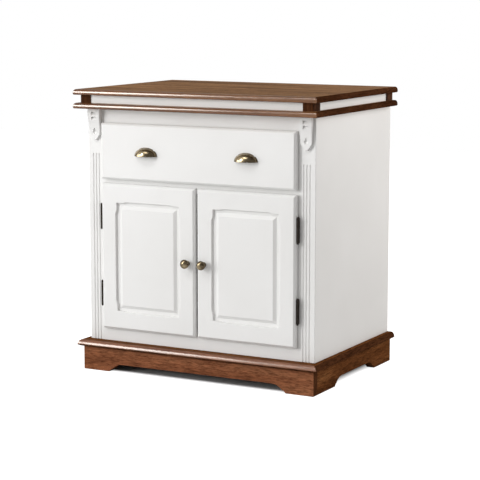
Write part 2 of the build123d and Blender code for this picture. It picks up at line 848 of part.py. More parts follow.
def half_ellipse(half, height):
    """Upper half of an ellipse standing on a straight line."""
    arc = Edge.make_ellipse(half, height, Plane.XY, 0, 180)
    return [arc, Edge.make_line((-half, 0), (half, 0))]


def half_ellipse_cut():
    half = pull_width / 2 - pull_flange - pull_shell
    height = pull_height - pull_flange / 2 - pull_shell
    arc = Edge.make_ellipse(half, height, Plane.XY, 0, 180)
    return [arc, Edge.make_line((-half, 0), (-half, -1)), Edge.make_line((-half, -1), (half, -1)),
            Edge.make_line((half, -1), (half, 0))]


def cup_pull_screws():
    screws = []
    for x in pull_screw_places():
        start = (x, door_back, pull_screw_z)
        shank = rod(pull_screw_radius, start, (0, -1, 0), board + pull_screw_depth)
        screws.append(shank)
    return screws


def box_half():
    return opening_half - runner_width


def drawer_side():
    """Right side of the drawer box, grooved for the bottom."""
    x1 = box_half()
    side = box(x1 - box_side, x1, door_back, door_back + box_length, box_low, box_low + box_height)
    z0 = box_low + box_bottom_up
    return side - box(x1 - box_side, x1 - box_side + box_bottom_groove, door_back,
                      door_back + box_length, z0, z0 + box_bottom)


def drawer_inner_front():
    half = box_half() - box_side
    inner = box(-half, half, door_back, door_back + box_side, box_low, box_low + box_height)
    z0 = box_low + box_bottom_up
    inner -= box(-half, half, door_back + box_side - box_bottom_groove, door_back + box_side,
                 z0, z0 + box_bottom)
    for x in pull_screw_places():
        inner -= rod(pull_screw_radius * 2, (x, door_back, pull_screw_z), (0, 1, 0), box_side)
    return inner


def drawer_back():
    half = box_half() - box_side
    y1 = door_back + box_length
    z0 = box_low + box_bottom_up + box_bottom
    return box(-half, half, y1 - box_side, y1, z0, box_low + box_height)


def drawer_bottom():
    half = box_half() - box_side + box_bottom_groove
    z0 = box_low + box_bottom_up
    return box(-half, half, door_back + box_side - box_bottom_groove, door_back + box_length,
               z0, z0 + box_bottom)


# ---------------------------------------------------------------- runners, right-hand side
def runner_span():
    start = body_front + runner_front_set
    return start, start + runner_length


def channel(web_x0, web_x1, flange_end, half_height):
    """A pressed channel: an upright web and a flange at its top and bottom."""
    y0, y1 = runner_span()
    web = box(web_x0, web_x1, y0, y1, runner_z - half_height, runner_z + half_height)
    for way in (-1, 1):
        z0 = runner_z + way * half_height
        web += box(web_x0, flange_end, y0, y1, z0 - way * runner_gauge, z0)
    return web


def cabinet_member():
    x1 = opening_half
    return channel(x1, x1 - runner_gauge, x1 - runner_flange, runner_height / 2)


def intermediate_member():
    x1 = opening_half - runner_gauge - runner_clearance
    half = runner_height / 2 - runner_gauge - runner_clearance
    return channel(x1, x1 - runner_gauge, x1 - inner_flange, half)


def drawer_member():
    x0 = box_half()
    half = runner_height / 2 - 2 * (runner_gauge + runner_clearance)
    flange_end = opening_half - 2 * (runner_gauge + runner_clearance)
    return channel(x0, x0 + runner_gauge, flange_end, half)


def runner_batten():
    """Packing batten that brings the runner in line with the edge of the pilaster."""
    return box(opening_half, side_inner, frame_back, frame_back + batten_length,
               runner_z - batten_height / 2, runner_z + batten_height / 2)


# ---------------------------------------------------------------- shelf and catches
def shelf():
    half = side_inner - shelf_clearance
    return box(-half, half, frame_back + shelf_front_set, back_face - back_thickness - shelf_back_gap,
               shelf_z, shelf_z + board)


def shelf_pins():
    pins = []
    for y in shelf_pin_rows():
        start = (side_inner - shelf_pin_length / 2, y, shelf_z - shelf_pin_radius)
        right = rod(shelf_pin_radius, start, (1, 0, 0), shelf_pin_length)
        pins += [mirrored(right), right]
    return pins


def magnetic_catch():
    y0 = door_back + strike_gauge + strike_gap
    x0 = catch_from_centre - catch_width / 2
    return box(x0, x0 + catch_width, y0, y0 + catch_depth, mid_rail_low - catch_height,
               mid_rail_low)


def strike_plate():
    """Thin plate on the back of the right door, facing the catch."""
    half = catch_width / 2 - strike_end_margin
    return box(catch_from_centre - half, catch_from_centre + half,
               door_back, door_back + strike_gauge,
               mid_rail_low - catch_height + strike_edge_margin, mid_rail_low - strike_edge_margin)


# ---------------------------------------------------------------- write every piece
def save_pair(stem, piece):
    """The right-hand piece and its mirror image, as two nodes."""
    pieces = piece if isinstance(piece, list) else [piece]
    save(stem + "_right", *pieces)
    save(stem + "_left", *[mirrored(each) for each in pieces])


def save_both(name, pieces):
    """The right-hand pieces and their mirror images, as one node of separate solids."""
    save(name, *[mirrored(each) for each in pieces], *pieces)


def save_top():
    save("worktop", worktop())
    save("cornice_board", cornice_board())
    save("frieze_corner_blocks", *frieze_corner_blocks())
    save("frieze_front", frieze_front())
    save("frieze_back", frieze_back())
    save_pair("frieze", frieze_side())


def save_body():
    save_pair("side_panel", side_panel())
    save("back_panel", back_panel())
    save("bottom_panel", bottom_panel())
    save_pair("pilaster", pilaster())
    save("top_rail", rail(top_rail_bottom, cornice_low))
    save("mid_rail", rail(mid_rail_low, mid_rail_high))
    save("bottom_rail", rail(base_top, bottom_rail_top))
    save_both("corbels", [corbel()])
    save("shelf", shelf())
    save("shelf_pins", *shelf_pins())
    save_both("magnetic_catches", [magnetic_catch()])


def save_base():
    save("base_moulding_front", base_moulding_front())
    save_pair("base_moulding", base_moulding_side())
    save("base_back_rail", base_back_rail())
    save("plinth_front", plinth_front())
    save_pair("plinth", plinth_side())
    save("plinth_back", plinth_back())
    save("plinth_corner_blocks", *plinth_corner_blocks())


def save_doors():
    screws = [knob_screw()]
    for centre in hinge_heights:
        screws += door_screws(centre)
    for side, place in (("right", lambda piece: piece), ("left", mirrored)):
        door = side + "_door_"
        save(door + "lock_stile", place(lock_stile()))
        save(door + "hinge_stile", place(hinge_stile()))
        save(door + "rails", *[place(each) for each in door_rails()])
        save(door + "panel", place(door_panel()))
        save(door + "knob", place(knob()))
        save(door + "hinge_leaves", *[place(door_leaf(centre)) for centre in hinge_heights])
        save(door + "screws", *[place(each) for each in screws])
        save(door + "strike_plate", place(strike_plate()))
    save_both("hinge_frame_leaves", [frame_leaf(centre) for centre in hinge_heights])
    save_both("hinge_pins", [hinge_pin(centre) for centre in hinge_heights])
    save_both("hinge_frame_screws", [screw for centre in hinge_heights
                                     for screw in frame_screws(centre)])


def save_drawer():
    save("drawer_front", drawer_front())
    save_both("drawer_sides", [drawer_side()])
    save("drawer_inner_front", drawer_inner_front())
    save("drawer_back", drawer_back())
    save("drawer_bottom", drawer_bottom())
    save("cup_pulls", cup_pull(-pull_x), cup_pull(pull_x))
    save("cup_pull_screws", *cup_pull_screws())
    save_both("runner_cabinet_members", [cabinet_member()])
    save_both("runner_intermediate_members", [intermediate_member()])
    save_both("runner_drawer_members", [drawer_member()])
    save_both("runner_battens", [runner_batten()])


save_top()
save_body()
save_base()
save_doors()
save_drawer()
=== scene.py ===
# %% [markdown]
# # A kitchen island cabinet, dressed in Blender
# The cabinet comes in as finished joinery: every board, hinge and screw is already at its real
# size. This notebook gives those pieces their finish, remodels the ones whose edges and curves
# catch the light, and sets up a small studio round them.
# All lengths are in metres, +Z is up, and the drawer and doors face -Y.

# %% Load the joinery
import json
import math

import bmesh
import bpy
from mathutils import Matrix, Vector


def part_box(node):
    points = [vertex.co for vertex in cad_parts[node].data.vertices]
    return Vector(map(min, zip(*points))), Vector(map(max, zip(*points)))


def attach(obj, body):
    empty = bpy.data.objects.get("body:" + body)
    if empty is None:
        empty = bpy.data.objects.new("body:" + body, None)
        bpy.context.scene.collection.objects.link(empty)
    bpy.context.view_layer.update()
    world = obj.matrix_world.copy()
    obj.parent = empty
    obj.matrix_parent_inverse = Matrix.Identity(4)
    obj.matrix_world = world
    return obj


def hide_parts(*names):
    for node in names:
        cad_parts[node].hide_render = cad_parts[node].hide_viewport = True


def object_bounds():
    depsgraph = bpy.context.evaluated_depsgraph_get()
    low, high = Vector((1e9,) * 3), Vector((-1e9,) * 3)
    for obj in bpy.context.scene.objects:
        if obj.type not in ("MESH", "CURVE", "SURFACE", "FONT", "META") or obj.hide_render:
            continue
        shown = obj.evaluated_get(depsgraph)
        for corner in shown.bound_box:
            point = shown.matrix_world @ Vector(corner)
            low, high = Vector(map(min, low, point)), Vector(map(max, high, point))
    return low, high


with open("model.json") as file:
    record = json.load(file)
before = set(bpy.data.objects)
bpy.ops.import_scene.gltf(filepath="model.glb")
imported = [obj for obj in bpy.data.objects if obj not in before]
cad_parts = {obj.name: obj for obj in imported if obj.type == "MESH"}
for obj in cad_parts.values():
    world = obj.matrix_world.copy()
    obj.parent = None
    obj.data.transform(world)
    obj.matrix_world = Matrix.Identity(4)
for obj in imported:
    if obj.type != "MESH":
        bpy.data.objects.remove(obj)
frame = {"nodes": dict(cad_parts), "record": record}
cad_low, cad_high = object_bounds()
bpy.ops.object.select_all(action="DESELECT")
MM = 0.001
print("nodes", len(frame["nodes"]), "size", [round(v, 4) for v in cad_high - cad_low])

# %% [markdown]
# ## Finishes
# Each finish is one shader with its colour, gloss and relief driven by noise that is measured on
# the piece itself, so it stays put when a door swings or the drawer slides.
# The helper below starts a material and keeps its parts at hand.


# %% A helper that starts a finish
class Finish:
    """A material with its principled shader, and short ways to add and join nodes."""

    def __init__(self, name):
        self.material = bpy.data.materials.new(name)
        self.material.use_nodes = True
        self.tree = self.material.node_tree
        self.shader = self.tree.nodes["Principled BSDF"]

    def add(self, kind, **settings):
        node = self.tree.nodes.new(kind)
        for key, value in settings.items():
            setattr(node, key, value)
        return node

    def join(self, output, socket):
        self.tree.links.new(output, socket)

    def stretched(self, stretch, shift=(0, 0, 0)):
        """Coordinates of the piece, scaled along each axis."""
        place = self.add("ShaderNodeTexCoord")
        mapping = self.add("ShaderNodeMapping")
        mapping.inputs["Scale"].default_value = stretch
        mapping.inputs["Location"].default_value = shift
        self.join(place.outputs["Object"], mapping.inputs["Vector"])
        return mapping.outputs["Vector"]

    def noise(self, vector, scale, detail=3.0, rough=0.5, twist=0.0):
        texture = self.add("ShaderNodeTexNoise")
        texture.inputs["Scale"].default_value = scale
        texture.inputs["Detail"].default_value = detail
        texture.inputs["Roughness"].default_value = rough
        texture.inputs["Distortion"].default_value = twist
        self.join(vector, texture.inputs["Vector"])
        return texture.outputs["Fac"]

    def ramp(self, value, stops):
        """Colour for each value, from a list of (position, colour)."""
        node = self.add("ShaderNodeValToRGB")
        points = node.color_ramp.elements
        while len(points) < len(stops):
            points.new(0.5)
        for point, (position, colour) in zip(points, stops):
            point.position = position
            point.color = (*colour, 1.0)
        self.join(value, node.inputs["Fac"])
        return node.outputs["Color"]

    def span(self, value, low, high):
        """A number between low and high, as the value crosses the middle of its range."""
        node = self.add("ShaderNodeMapRange")
        limits = {"From Min": 0.3, "From Max": 0.7, "To Min": low, "To Max": high}
        for key, number in limits.items():
            node.inputs[key].default_value = number
        self.join(value, node.inputs["Value"])
        return node.outputs["Result"]

    def blend(self, amount, first, second, kind="MIX"):
        """Two colours mixed; the amount is a number or the output of a node."""
        node = self.add("ShaderNodeMix", data_type="RGBA", blend_type=kind)
        for index, value in ((0, amount), (6, first), (7, second)):
            socket = node.inputs[index]
            if isinstance(value, bpy.types.NodeSocket):
                self.join(value, socket)
            elif isinstance(value, tuple):
                socket.default_value = (*value, 1.0)
            else:
                socket.default_value = value
        return node.outputs[2]

    def relief(self, value, strength, depth, under=None):
        """Bumps of the given depth, laid over other bumps if there are any."""
        node = self.add("ShaderNodeBump")
        node.inputs["Strength"].default_value = strength
        node.inputs["Distance"].default_value = depth
        self.join(value, node.inputs["Height"])
        if under is not None:
            self.join(under, node.inputs["Normal"])
        return node.outputs["Normal"]

    def set(self, **sockets):
        """Plain numbers on the shader's own sockets, or links from nodes."""
        for key, value in sockets.items():
            socket = self.shader.inputs[key.replace("_", " ")]
            if isinstance(value, bpy.types.NodeSocket):
                self.join(value, socket)
            else:
                socket.default_value = value


print("finish helper ready")

# %% [markdown]
# ### Walnut stain under satin lacquer
# The worktop, cornice, base moulding and plinth are stained boards. Wood is long in one
# direction: slow streaks of colour, finer growth lines and very fine pores all run along the
# board, so each noise is stretched along the grain. One material per grain direction lets every
# board follow its own length. The flat of the slabs is paler: partly its own tone, partly a
# painted sheen that stands in for the reflection off the flat. The boards along Y and Z, the
# shelf of the base moulding and the moulded front edges take the stain painted darker as painted
# shade, and the posts and end grain are darker still. The lacquer only shines where it pooled
# on the moulded edges, a little softer on the nose of the base moulding than on the slabs.


# %% Walnut
STAIN = ((0.126, 0.043, 0.020), (0.222, 0.084, 0.040), (0.305, 0.130, 0.064))
# Paler stain for the flats: partly their own tone, partly a painted sheen in place of the
# reflection.
PALE_STAIN_AND_SHEEN = ((0.136, 0.070, 0.033), (0.250, 0.132, 0.061), (0.385, 0.205, 0.093))
# A shaded copy of the stain: painted shade for boards along Y and Z, the moulding shelf and the
# moulded front edges.
SHADED_STAIN = ((0.075, 0.026, 0.009), (0.145, 0.054, 0.019), (0.210, 0.090, 0.034))
DARK_STAIN = ((0.035, 0.012, 0.005), (0.070, 0.026, 0.011), (0.115, 0.045, 0.019))
POLISHED, DULL = (1.0, 0.93, 0.86, 1.0), (0.36, 0.26, 0.20, 1.0)


def walnut(name, along, shift, tones=STAIN, rough=(0.60, 0.72), gloss=0.01, pore_depth=0.15,
           contrast=0.9):
    finish = Finish(name)

    def stretch(long, cross):
        return tuple(long if axis == along else cross for axis in range(3))

    streaks = finish.noise(finish.stretched(stretch(1.1, 11.0), shift), 1.6, 5.0, 0.6, 0.7)
    lines = finish.noise(finish.stretched(stretch(24.0, 190.0), shift), 1.6, 4.0, 0.72, 0.4)
    pores = finish.noise(finish.stretched(stretch(28.0, 520.0), shift), 1.5, 2.0, 0.6)
    broad = finish.ramp(streaks, list(zip((0.30, 0.50, 0.72), tones)))
    fine = finish.ramp(lines, [(0.32, (0.34, 0.30, 0.27)), (0.50, (1.0, 1.0, 1.0)),
                               (0.68, (1.62, 1.56, 1.50))])
    colour = finish.blend(contrast, broad, fine, "MULTIPLY")
    dots = finish.ramp(pores, [(0.30, (0.45, 0.40, 0.36)), (0.42, (1.0, 1.0, 1.0))])
    colour = finish.blend(0.6, colour, dots, "MULTIPLY")
    bumps = finish.relief(pores, 0.20, pore_depth * MM)
    bumps = finish.relief(lines, 0.12, 1.6 * pore_depth * MM, bumps)
    finish.set(Base_Color=colour, Roughness=finish.span(lines, *rough), Normal=bumps,
               Specular_IOR_Level=gloss, Specular_Tint=POLISHED if gloss > 0.5 else DULL)
    return finish.material


ALONG_Y, ALONG_Z = (3.1, 1.7, 0.4), (5.3, 2.2, 1.9)
walnut_x = walnut("walnut_along_x", 0, (0.0, 0.0, 0.0))
walnut_y = walnut("walnut_along_y", 1, ALONG_Y, tones=SHADED_STAIN, gloss=0.0)
walnut_z = walnut("walnut_along_z", 2, ALONG_Z, tones=SHADED_STAIN)
walnut_flat = walnut("walnut_flat", 0, (0.0, 0.0, 0.0), tones=PALE_STAIN_AND_SHEEN, gloss=0.03)
walnut_post = walnut("walnut_post", 2, ALONG_Z, tones=DARK_STAIN)
walnut_shelf = walnut("walnut_shelf", 0, (0.0, 0.0, 0.0), tones=SHADED_STAIN)
# Dark stain: the real end grain, and also painted shade in the hollow under the base moulding.
end_grain_and_shade = walnut("walnut_end_grain", 2, (1.3, 0.6, 2.7), tones=DARK_STAIN, gloss=0.0)
edge_x = walnut("walnut_edge_along_x", 0, (0.0, 0.0, 0.0), tones=SHADED_STAIN, rough=(0.14, 0.18),
                gloss=1.0, pore_depth=0.006, contrast=0.45)
nose_x = walnut("walnut_nose_along_x", 0, (0.0, 0.0, 0.0), rough=(0.18, 0.26), gloss=1.0,
                pore_depth=0.01, contrast=0.6)
edge_y = walnut("walnut_edge_along_y", 1, ALONG_Y, tones=DARK_STAIN, rough=(0.40, 0.55), gloss=0.0)
print("walnut", [m.name for m in (walnut_x, walnut_y, walnut_z, walnut_flat, walnut_post,
                                  walnut_shelf, end_grain_and_shade, edge_x, nose_x, edge_y)])

# %% [markdown]
# ### White satin lacquer
# The body is sprayed white. Sprayed lacquer is not flat: it has a very fine orange peel, the
# wood below telegraphs faintly along the board, and the gloss drifts a little. The inside
# corners are painted a little grey, a painted shade where less light reaches them.


# %% White lacquer
def white_lacquer(name, along):
    finish = Finish(name)

    def stretch(long, cross):
        return tuple(long if axis == along else cross for axis in range(3))

    cloud = finish.noise(finish.stretched((1.0, 1.0, 1.0)), 3.0, 3.0)
    telegraph = finish.noise(finish.stretched(stretch(5.0, 150.0)), 1.5, 3.0)
    peel = finish.noise(finish.stretched((1.0, 1.0, 1.0)), 900.0, 2.0)
    colour = finish.ramp(cloud, [(0.35, (0.800, 0.795, 0.782)), (0.65, (0.835, 0.832, 0.822))])
    # Painted shade: the paint turns grey where the surface sits deep in an inside corner.
    corner = finish.add("ShaderNodeAmbientOcclusion", samples=6)
    corner.inputs["Distance"].default_value = 6 * MM
    painted_corner_shade = finish.ramp(corner.outputs["AO"], [(0.15, (0.78, 0.755, 0.73)),
                                                (0.65, (1.0, 1.0, 1.0))])
    colour = finish.blend(0.8, colour, painted_corner_shade, "MULTIPLY")
    bumps = finish.relief(telegraph, 0.06, 0.12 * MM)
    bumps = finish.relief(peel, 0.06, 0.05 * MM, bumps)
    finish.set(Base_Color=colour, Roughness=finish.span(cloud, 0.36, 0.46), Normal=bumps,
               Specular_IOR_Level=0.4)
    return finish.material


white_x = white_lacquer("white_along_x", 0)
white_y = white_lacquer("white_along_y", 1)
white_z = white_lacquer("white_along_z", 2)
print("white", [m.name for m in (white_x, white_y, white_z)])

# %% [markdown]
# ### Metals, plain wood and small fittings
# The pulls and knobs are brass that was darkened and is brighter where it gets handled. Each
# piece records in an attribute a bright patch, partly real rubbing where hands touch and partly a
# painted highlight where the light catches it, and the brass is brown everywhere else. The
# hinges are dark bronze. Runners and screws are zinc plated. Inside the cabinet the wood is
# plain pine, and the back and drawer bottom are thin fibre board.


# %% Aged brass and dark bronze
def aged_metal(name, rubbed_and_highlight, tarnish, spots, rough):
    finish = Finish(name)
    place = finish.stretched((1.0, 1.0, 1.0))
    patches = finish.noise(place, spots, 4.0, 0.6)
    grit = finish.noise(place, spots * 9.0, 2.0)
    hollow = finish.add("ShaderNodeAmbientOcclusion", samples=6)
    hollow.inputs["Distance"].default_value = 5 * MM
    # The bright patch: partly real rubbing, partly a painted highlight.
    worn_and_highlight = finish.add("ShaderNodeAttribute", attribute_name="worn_and_highlight")
    lighter = tuple(0.78 * t + 0.22 * r for t, r in zip(tarnish, rubbed_and_highlight))
    colour = finish.ramp(patches, [(0.32, tarnish), (0.60, lighter)])
    colour = finish.blend(worn_and_highlight.outputs["Fac"], colour, rubbed_and_highlight)
    dark = finish.ramp(hollow.outputs["AO"], [(0.2, (0.35, 0.31, 0.27)), (0.8, (1.0, 1.0, 1.0))])
    colour = finish.blend(0.9, colour, dark, "MULTIPLY")
    finish.set(Base_Color=colour, Metallic=1.0, Roughness=finish.span(patches, rough[1], rough[0]),
               Normal=finish.relief(grit, 0.12, 0.06 * MM))
    return finish.material


aged_brass = aged_metal("aged_brass", rubbed_and_highlight=(0.640, 0.520, 0.330),
                        tarnish=(0.060, 0.040, 0.022), spots=160.0, rough=(0.16, 0.28))
dark_bronze = aged_metal("dark_bronze", rubbed_and_highlight=(0.110, 0.088, 0.074),
                         tarnish=(0.036, 0.029, 0.025), spots=220.0, rough=(0.34, 0.50))
print("metals", aged_brass.name, dark_bronze.name)


# %% Zinc, pine, fibre board and black plastic
def zinc_plate(name):
    finish = Finish(name)
    flakes = finish.noise(finish.stretched((1.0, 0.25, 1.0)), 500.0, 3.0)
    colour = finish.ramp(flakes, [(0.35, (0.42, 0.43, 0.44)), (0.65, (0.60, 0.61, 0.61))])
    finish.set(Base_Color=colour, Metallic=1.0, Roughness=finish.span(flakes, 0.42, 0.30),
               Normal=finish.relief(flakes, 0.08, 0.04 * MM))
    return finish.material


def plain_wood(name, stretch, deep, pale, rough):
    finish = Finish(name)
    streaks = finish.noise(finish.stretched(stretch), 1.5, 4.0, 0.6, 0.5)
    fibres = finish.noise(finish.stretched(tuple(6.0 * s for s in stretch)), 2.0, 3.0)
    colour = finish.ramp(streaks, [(0.35, deep), (0.65, pale)])
    tint = finish.ramp(fibres, [(0.35, (0.86, 0.84, 0.82)), (0.60, (1.0, 1.0, 1.0))])
    finish.set(Base_Color=finish.blend(0.7, colour, tint, "MULTIPLY"), Roughness=rough,
               Normal=finish.relief(fibres, 0.15, 0.12 * MM), Specular_IOR_Level=0.3)
    return finish.material


def black_plastic(name):
    finish = Finish(name)
    grain = finish.noise(finish.stretched((1.0, 1.0, 1.0)), 1400.0, 2.0)
    colour = finish.ramp(grain, [(0.3, (0.018, 0.018, 0.019)), (0.7, (0.034, 0.034, 0.035))])
    finish.set(Base_Color=colour, Roughness=finish.span(grain, 0.45, 0.58),
               Normal=finish.relief(grain, 0.2, 0.08 * MM))
    return finish.material


zinc = zinc_plate("zinc_plate")
PINE = ((0.46, 0.31, 0.17), (0.66, 0.49, 0.30))
FIBRE = ((0.30, 0.20, 0.12), (0.40, 0.28, 0.18))
pine_x = plain_wood("pine_along_x", (1.2, 16.0, 16.0), *PINE, 0.62)
pine_y = plain_wood("pine_along_y", (16.0, 1.2, 16.0), *PINE, 0.62)
pine_z = plain_wood("pine_along_z", (16.0, 16.0, 1.2), *PINE, 0.62)
fibre_board = plain_wood("fibre_board", (90.0, 90.0, 90.0), *FIBRE, 0.7)
plastic = black_plastic("black_plastic")
print("fittings", zinc.name, pine_x.name, fibre_board.name, plastic.name)

# %% [markdown]
# ## Finish on every node
# The grain of a board follows its length, so the longest side of a node's box picks the
# direction, apart from a few boards whose grain is known.


# %% Give every node its finish
def longest_axis(node):
    low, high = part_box(node)
    size = high - low
    return max(range(3), key=lambda axis: size[axis])


def finish_for(node, slot):
    axis = GRAIN.get(node, longest_axis(node))
    if slot == "walnut_lacquer":
        return (walnut_x, walnut_y, walnut_z)[axis]
    if slot == "white_lacquer":
        return (white_x, white_y, white_z)[axis]
    if slot == "plain_pine":
        return (pine_x, pine_y, pine_z)[axis]
    return {"thin_board": fibre_board, "aged_brass": aged_brass, "dark_bronze": dark_bronze,
            "zinc_steel": zinc, "black_plastic": plastic}[slot]


GRAIN = {"frieze_corner_blocks": 2, "corbels": 2, "left_door_rails": 0, "right_door_rails": 0,
         "side_panel_left": 2, "side_panel_right": 2, "back_panel": 2, "drawer_sides": 1,
         "base_moulding_left": 1, "base_moulding_right": 1, "plinth_corner_blocks": 2,
         "runner_battens": 1}
SLOT_OF = {part["node"]: part["material_slot"] for part in frame["record"]["subparts"]}
for node, piece in frame["nodes"].items():
    piece.data.materials.clear()
    piece.data.materials.append(finish_for(node, SLOT_OF[node]))
print("finished nodes", len(SLOT_OF))

# %% [markdown]
# ## Modelling by hand, in code
# The pieces whose edges and curves catch the light are modelled again, the way it is done by
# hand: a cube, sphere or cylinder is added at its real size and place, and edit mode does the
# rest. In code there is no mouse, so corners, edges and faces are picked by where they lie.
# The helpers below do what a modeller's hands do all the time: add a block, pick a part of it,
# cut across it, and soften its edges.


# %% Hands
TOUCH = 0.02 * MM


def block(name, low, high):
    """A block between two corners, at the origin, with its place in its mesh."""
    low, high = Vector(low), Vector(high)
    bpy.ops.mesh.primitive_cube_add(size=1.0, location=(low + high) / 2, scale=high - low)
    piece = bpy.context.object
    piece.name = piece.data.name = name
    bpy.ops.object.transform_apply(location=True, rotation=True, scale=True)
    return piece


def work_on(piece, mode="EDIT"):
    """Go to work on one piece alone."""
    if bpy.context.object and bpy.context.object.mode != "OBJECT":
        bpy.ops.object.mode_set(mode="OBJECT")
    bpy.ops.object.select_all(action="DESELECT")
    piece.select_set(True)
    bpy.context.view_layer.objects.active = piece
    bpy.ops.object.mode_set(mode=mode)


def middle_of(part):
    """Middle of a corner, an edge or a face."""
    if isinstance(part, bmesh.types.BMVert):
        return part.co
    return sum((corner.co for corner in part.verts), Vector()) / len(part.verts)


def pick(piece, kind, test):
    """Select only the corners, edges or faces that pass the test."""
    bpy.ops.mesh.select_mode(type=kind)
    bpy.ops.mesh.select_all(action="DESELECT")
    mesh = bmesh.from_edit_mesh(piece.data)
    parts = {"VERT": mesh.verts, "EDGE": mesh.edges, "FACE": mesh.faces}[kind]
    for part in [part for part in parts if test(part)]:
        part.select_set(True)
    bmesh.update_edit_mesh(piece.data)


def near(a, b):
    return abs(a - b) < TOUCH


def cut_across(piece, axis, places):
    """Cut the whole piece with planes square to an axis."""
    for place in places:
        bpy.ops.mesh.select_all(action="SELECT")
        on_plane, square = [0.0, 0.0, 0.0], [0.0, 0.0, 0.0]
        on_plane[axis], square[axis] = place, 1.0
        bpy.ops.mesh.bisect(plane_co=on_plane, plane_no=square)


def apply_all(piece):
    work_on(piece, "OBJECT")
    for modifier in list(piece.modifiers):
        bpy.ops.object.modifier_apply(modifier=modifier.name)


def soften(piece, width, rings=2, sharper_than=30):
    """Round off every sharp edge a little, and shade the flats flat and the rounds round."""
    work_on(piece, "OBJECT")
    rounding = piece.modifiers.new("softened edges", "BEVEL")
    rounding.width, rounding.segments = width, rings
    rounding.limit_method, rounding.angle_limit = "ANGLE", math.radians(sharper_than)
    apply_all(piece)
    shade(piece)


def shade(piece, angle=48):
    work_on(piece, "OBJECT")
    bpy.ops.object.shade_smooth_by_angle(angle=math.radians(angle))
    flats = piece.modifiers.new("flats stay flat", "WEIGHTED_NORMAL")
    flats.keep_sharp = True
    apply_all(piece)


def carve(piece, cutter):
    """Take the cutter's shape out of the piece."""
    work_on(piece, "OBJECT")
    cut = piece.modifiers.new("carve", "BOOLEAN")
    cut.operation, cut.object, cut.solver = "DIFFERENCE", cutter, "EXACT"
    apply_all(piece)
    bpy.data.objects.remove(cutter)


def twin(piece, name, move=(0, 0, 0)):
    """A copy with its own mesh, moved along."""
    work_on(piece, "OBJECT")
    bpy.ops.object.duplicate()
    copy = bpy.context.object
    copy.name = copy.data.name = name
    bpy.ops.transform.translate(value=move)
    bpy.ops.object.transform_apply(location=True, rotation=True, scale=True)
    return copy


def reflection(piece, name):
    """The same piece on the other side of the cabinet, with its faces pointing outwards."""
    copy = twin(piece, name)
    copy.scale.x = -1.0
    bpy.ops.object.transform_apply(location=True, rotation=True, scale=True)
    work_on(copy)
    bpy.ops.mesh.select_all(action="SELECT")
    bpy.ops.mesh.normals_make_consistent(inside=False)
    work_on(copy, "OBJECT")
    shade(copy)
    return copy


def paint(piece, finishes, choose=None):
    """Give the piece its finishes; choose says which of them a face gets."""
    piece.data.materials.clear()
    for finish in finishes:
        piece.data.materials.append(finish)
    if choose:
        work_on(piece)
        for index in range(len(finishes)):
            pick(piece, "FACE", lambda face: choose(face) == index)
            piece.active_material_index = index
            bpy.ops.object.material_slot_assign()
        work_on(piece, "OBJECT")


def settle(piece, body, slot, *nodes):
    """The piece rides on its body, and stands for the plain joinery that it replaces."""
    work_on(piece, "OBJECT")
    piece.select_set(False)
    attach(piece, body)
    if nodes:
        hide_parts(*nodes)
    print(piece.name, "faces", len(piece.data.polygons))


print("hands ready")

# %% [markdown]
# ### Worktop and cornice board
# Both are stained boards with a thumb-shaped edge over a small return, worked on the front and
# the two sides; the back is left square for the wall. The round is a bevel of the top edge in
# one go, stretched downwards a little afterwards because the thumb is taller than it is deep,
# and the mitres at the corners come by themselves. The moulded edge gets the polished finish,
# because that is where the lacquer pools and shines.


# %% Moulded slabs
def stretch_down(piece, top, out, down):
    """Make a round bevel under the level top as tall as down, where it was as tall as out."""
    pick(piece, "VERT", lambda corner: corner.co.z > top - out - TOUCH)
    bpy.ops.transform.resize(value=(1, 1, down / out), center_override=(0, 0, top))


def thumb_slab(node, out=9 * MM, down=11 * MM, return_radius=4 * MM):
    low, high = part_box(node)
    slab = block(node + "_moulded", low, high)

    def outer_edge(level):
        def test(edge):
            ends = [corner.co for corner in edge.verts]
            return all(near(c.z, level) for c in ends) and not all(near(c.y, high.y) for c in ends)
        return test

    work_on(slab)
    pick(slab, "EDGE", outer_edge(high.z))
    bpy.ops.mesh.bevel(offset=out, segments=10, affect="EDGES", clamp_overlap=False)
    stretch_down(slab, high.z, out, down)
    pick(slab, "EDGE", outer_edge(low.z))
    bpy.ops.mesh.bevel(offset=return_radius, segments=5, affect="EDGES", clamp_overlap=False)
    work_on(slab, "OBJECT")
    shade(slab, 40)

    def finish_of(face):
        if abs(face.normal.z) > 0.999 or face.normal.y > 0.9:
            return 0
        return 1 if abs(face.normal.y) > abs(face.normal.x) else 2

    paint(slab, (walnut_flat, edge_x, edge_y), finish_of)
    settle(slab, "cabinet", "walnut_lacquer", node)


for node in ("worktop", "cornice_board"):
    thumb_slab(node)

# %% [markdown]
# ### Corner blocks of the frieze
# Four short posts keep the worktop off the cornice board. They are cut from the same stained
# wood with the grain upright, so one is modelled with softened arrises and copied to each
# corner.

# %% Frieze posts
POST_WIDE, POST_DEEP = 36 * MM, 45 * MM
low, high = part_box("frieze_corner_blocks")
post_size = Vector((POST_WIDE, POST_DEEP, high.z - low.z))
post = block("frieze_post_front_left", low, low + post_size)
work_on(post)
cut_across(post, 2, [low.z + post_size.z / 2])
soften(post, 0.8 * MM)
paint(post, (walnut_post,))
settle(post, "cabinet", "walnut_lacquer", "frieze_corner_blocks")
across, back = high.x - low.x - post_size.x, high.y - low.y - post_size.y
for name, move in (("front_right", (across, 0, 0)), ("back_left", (0, back, 0)),
                   ("back_right", (across, back, 0))):
    settle(twin(post, "frieze_post_" + name, move), "cabinet", "walnut_lacquer")

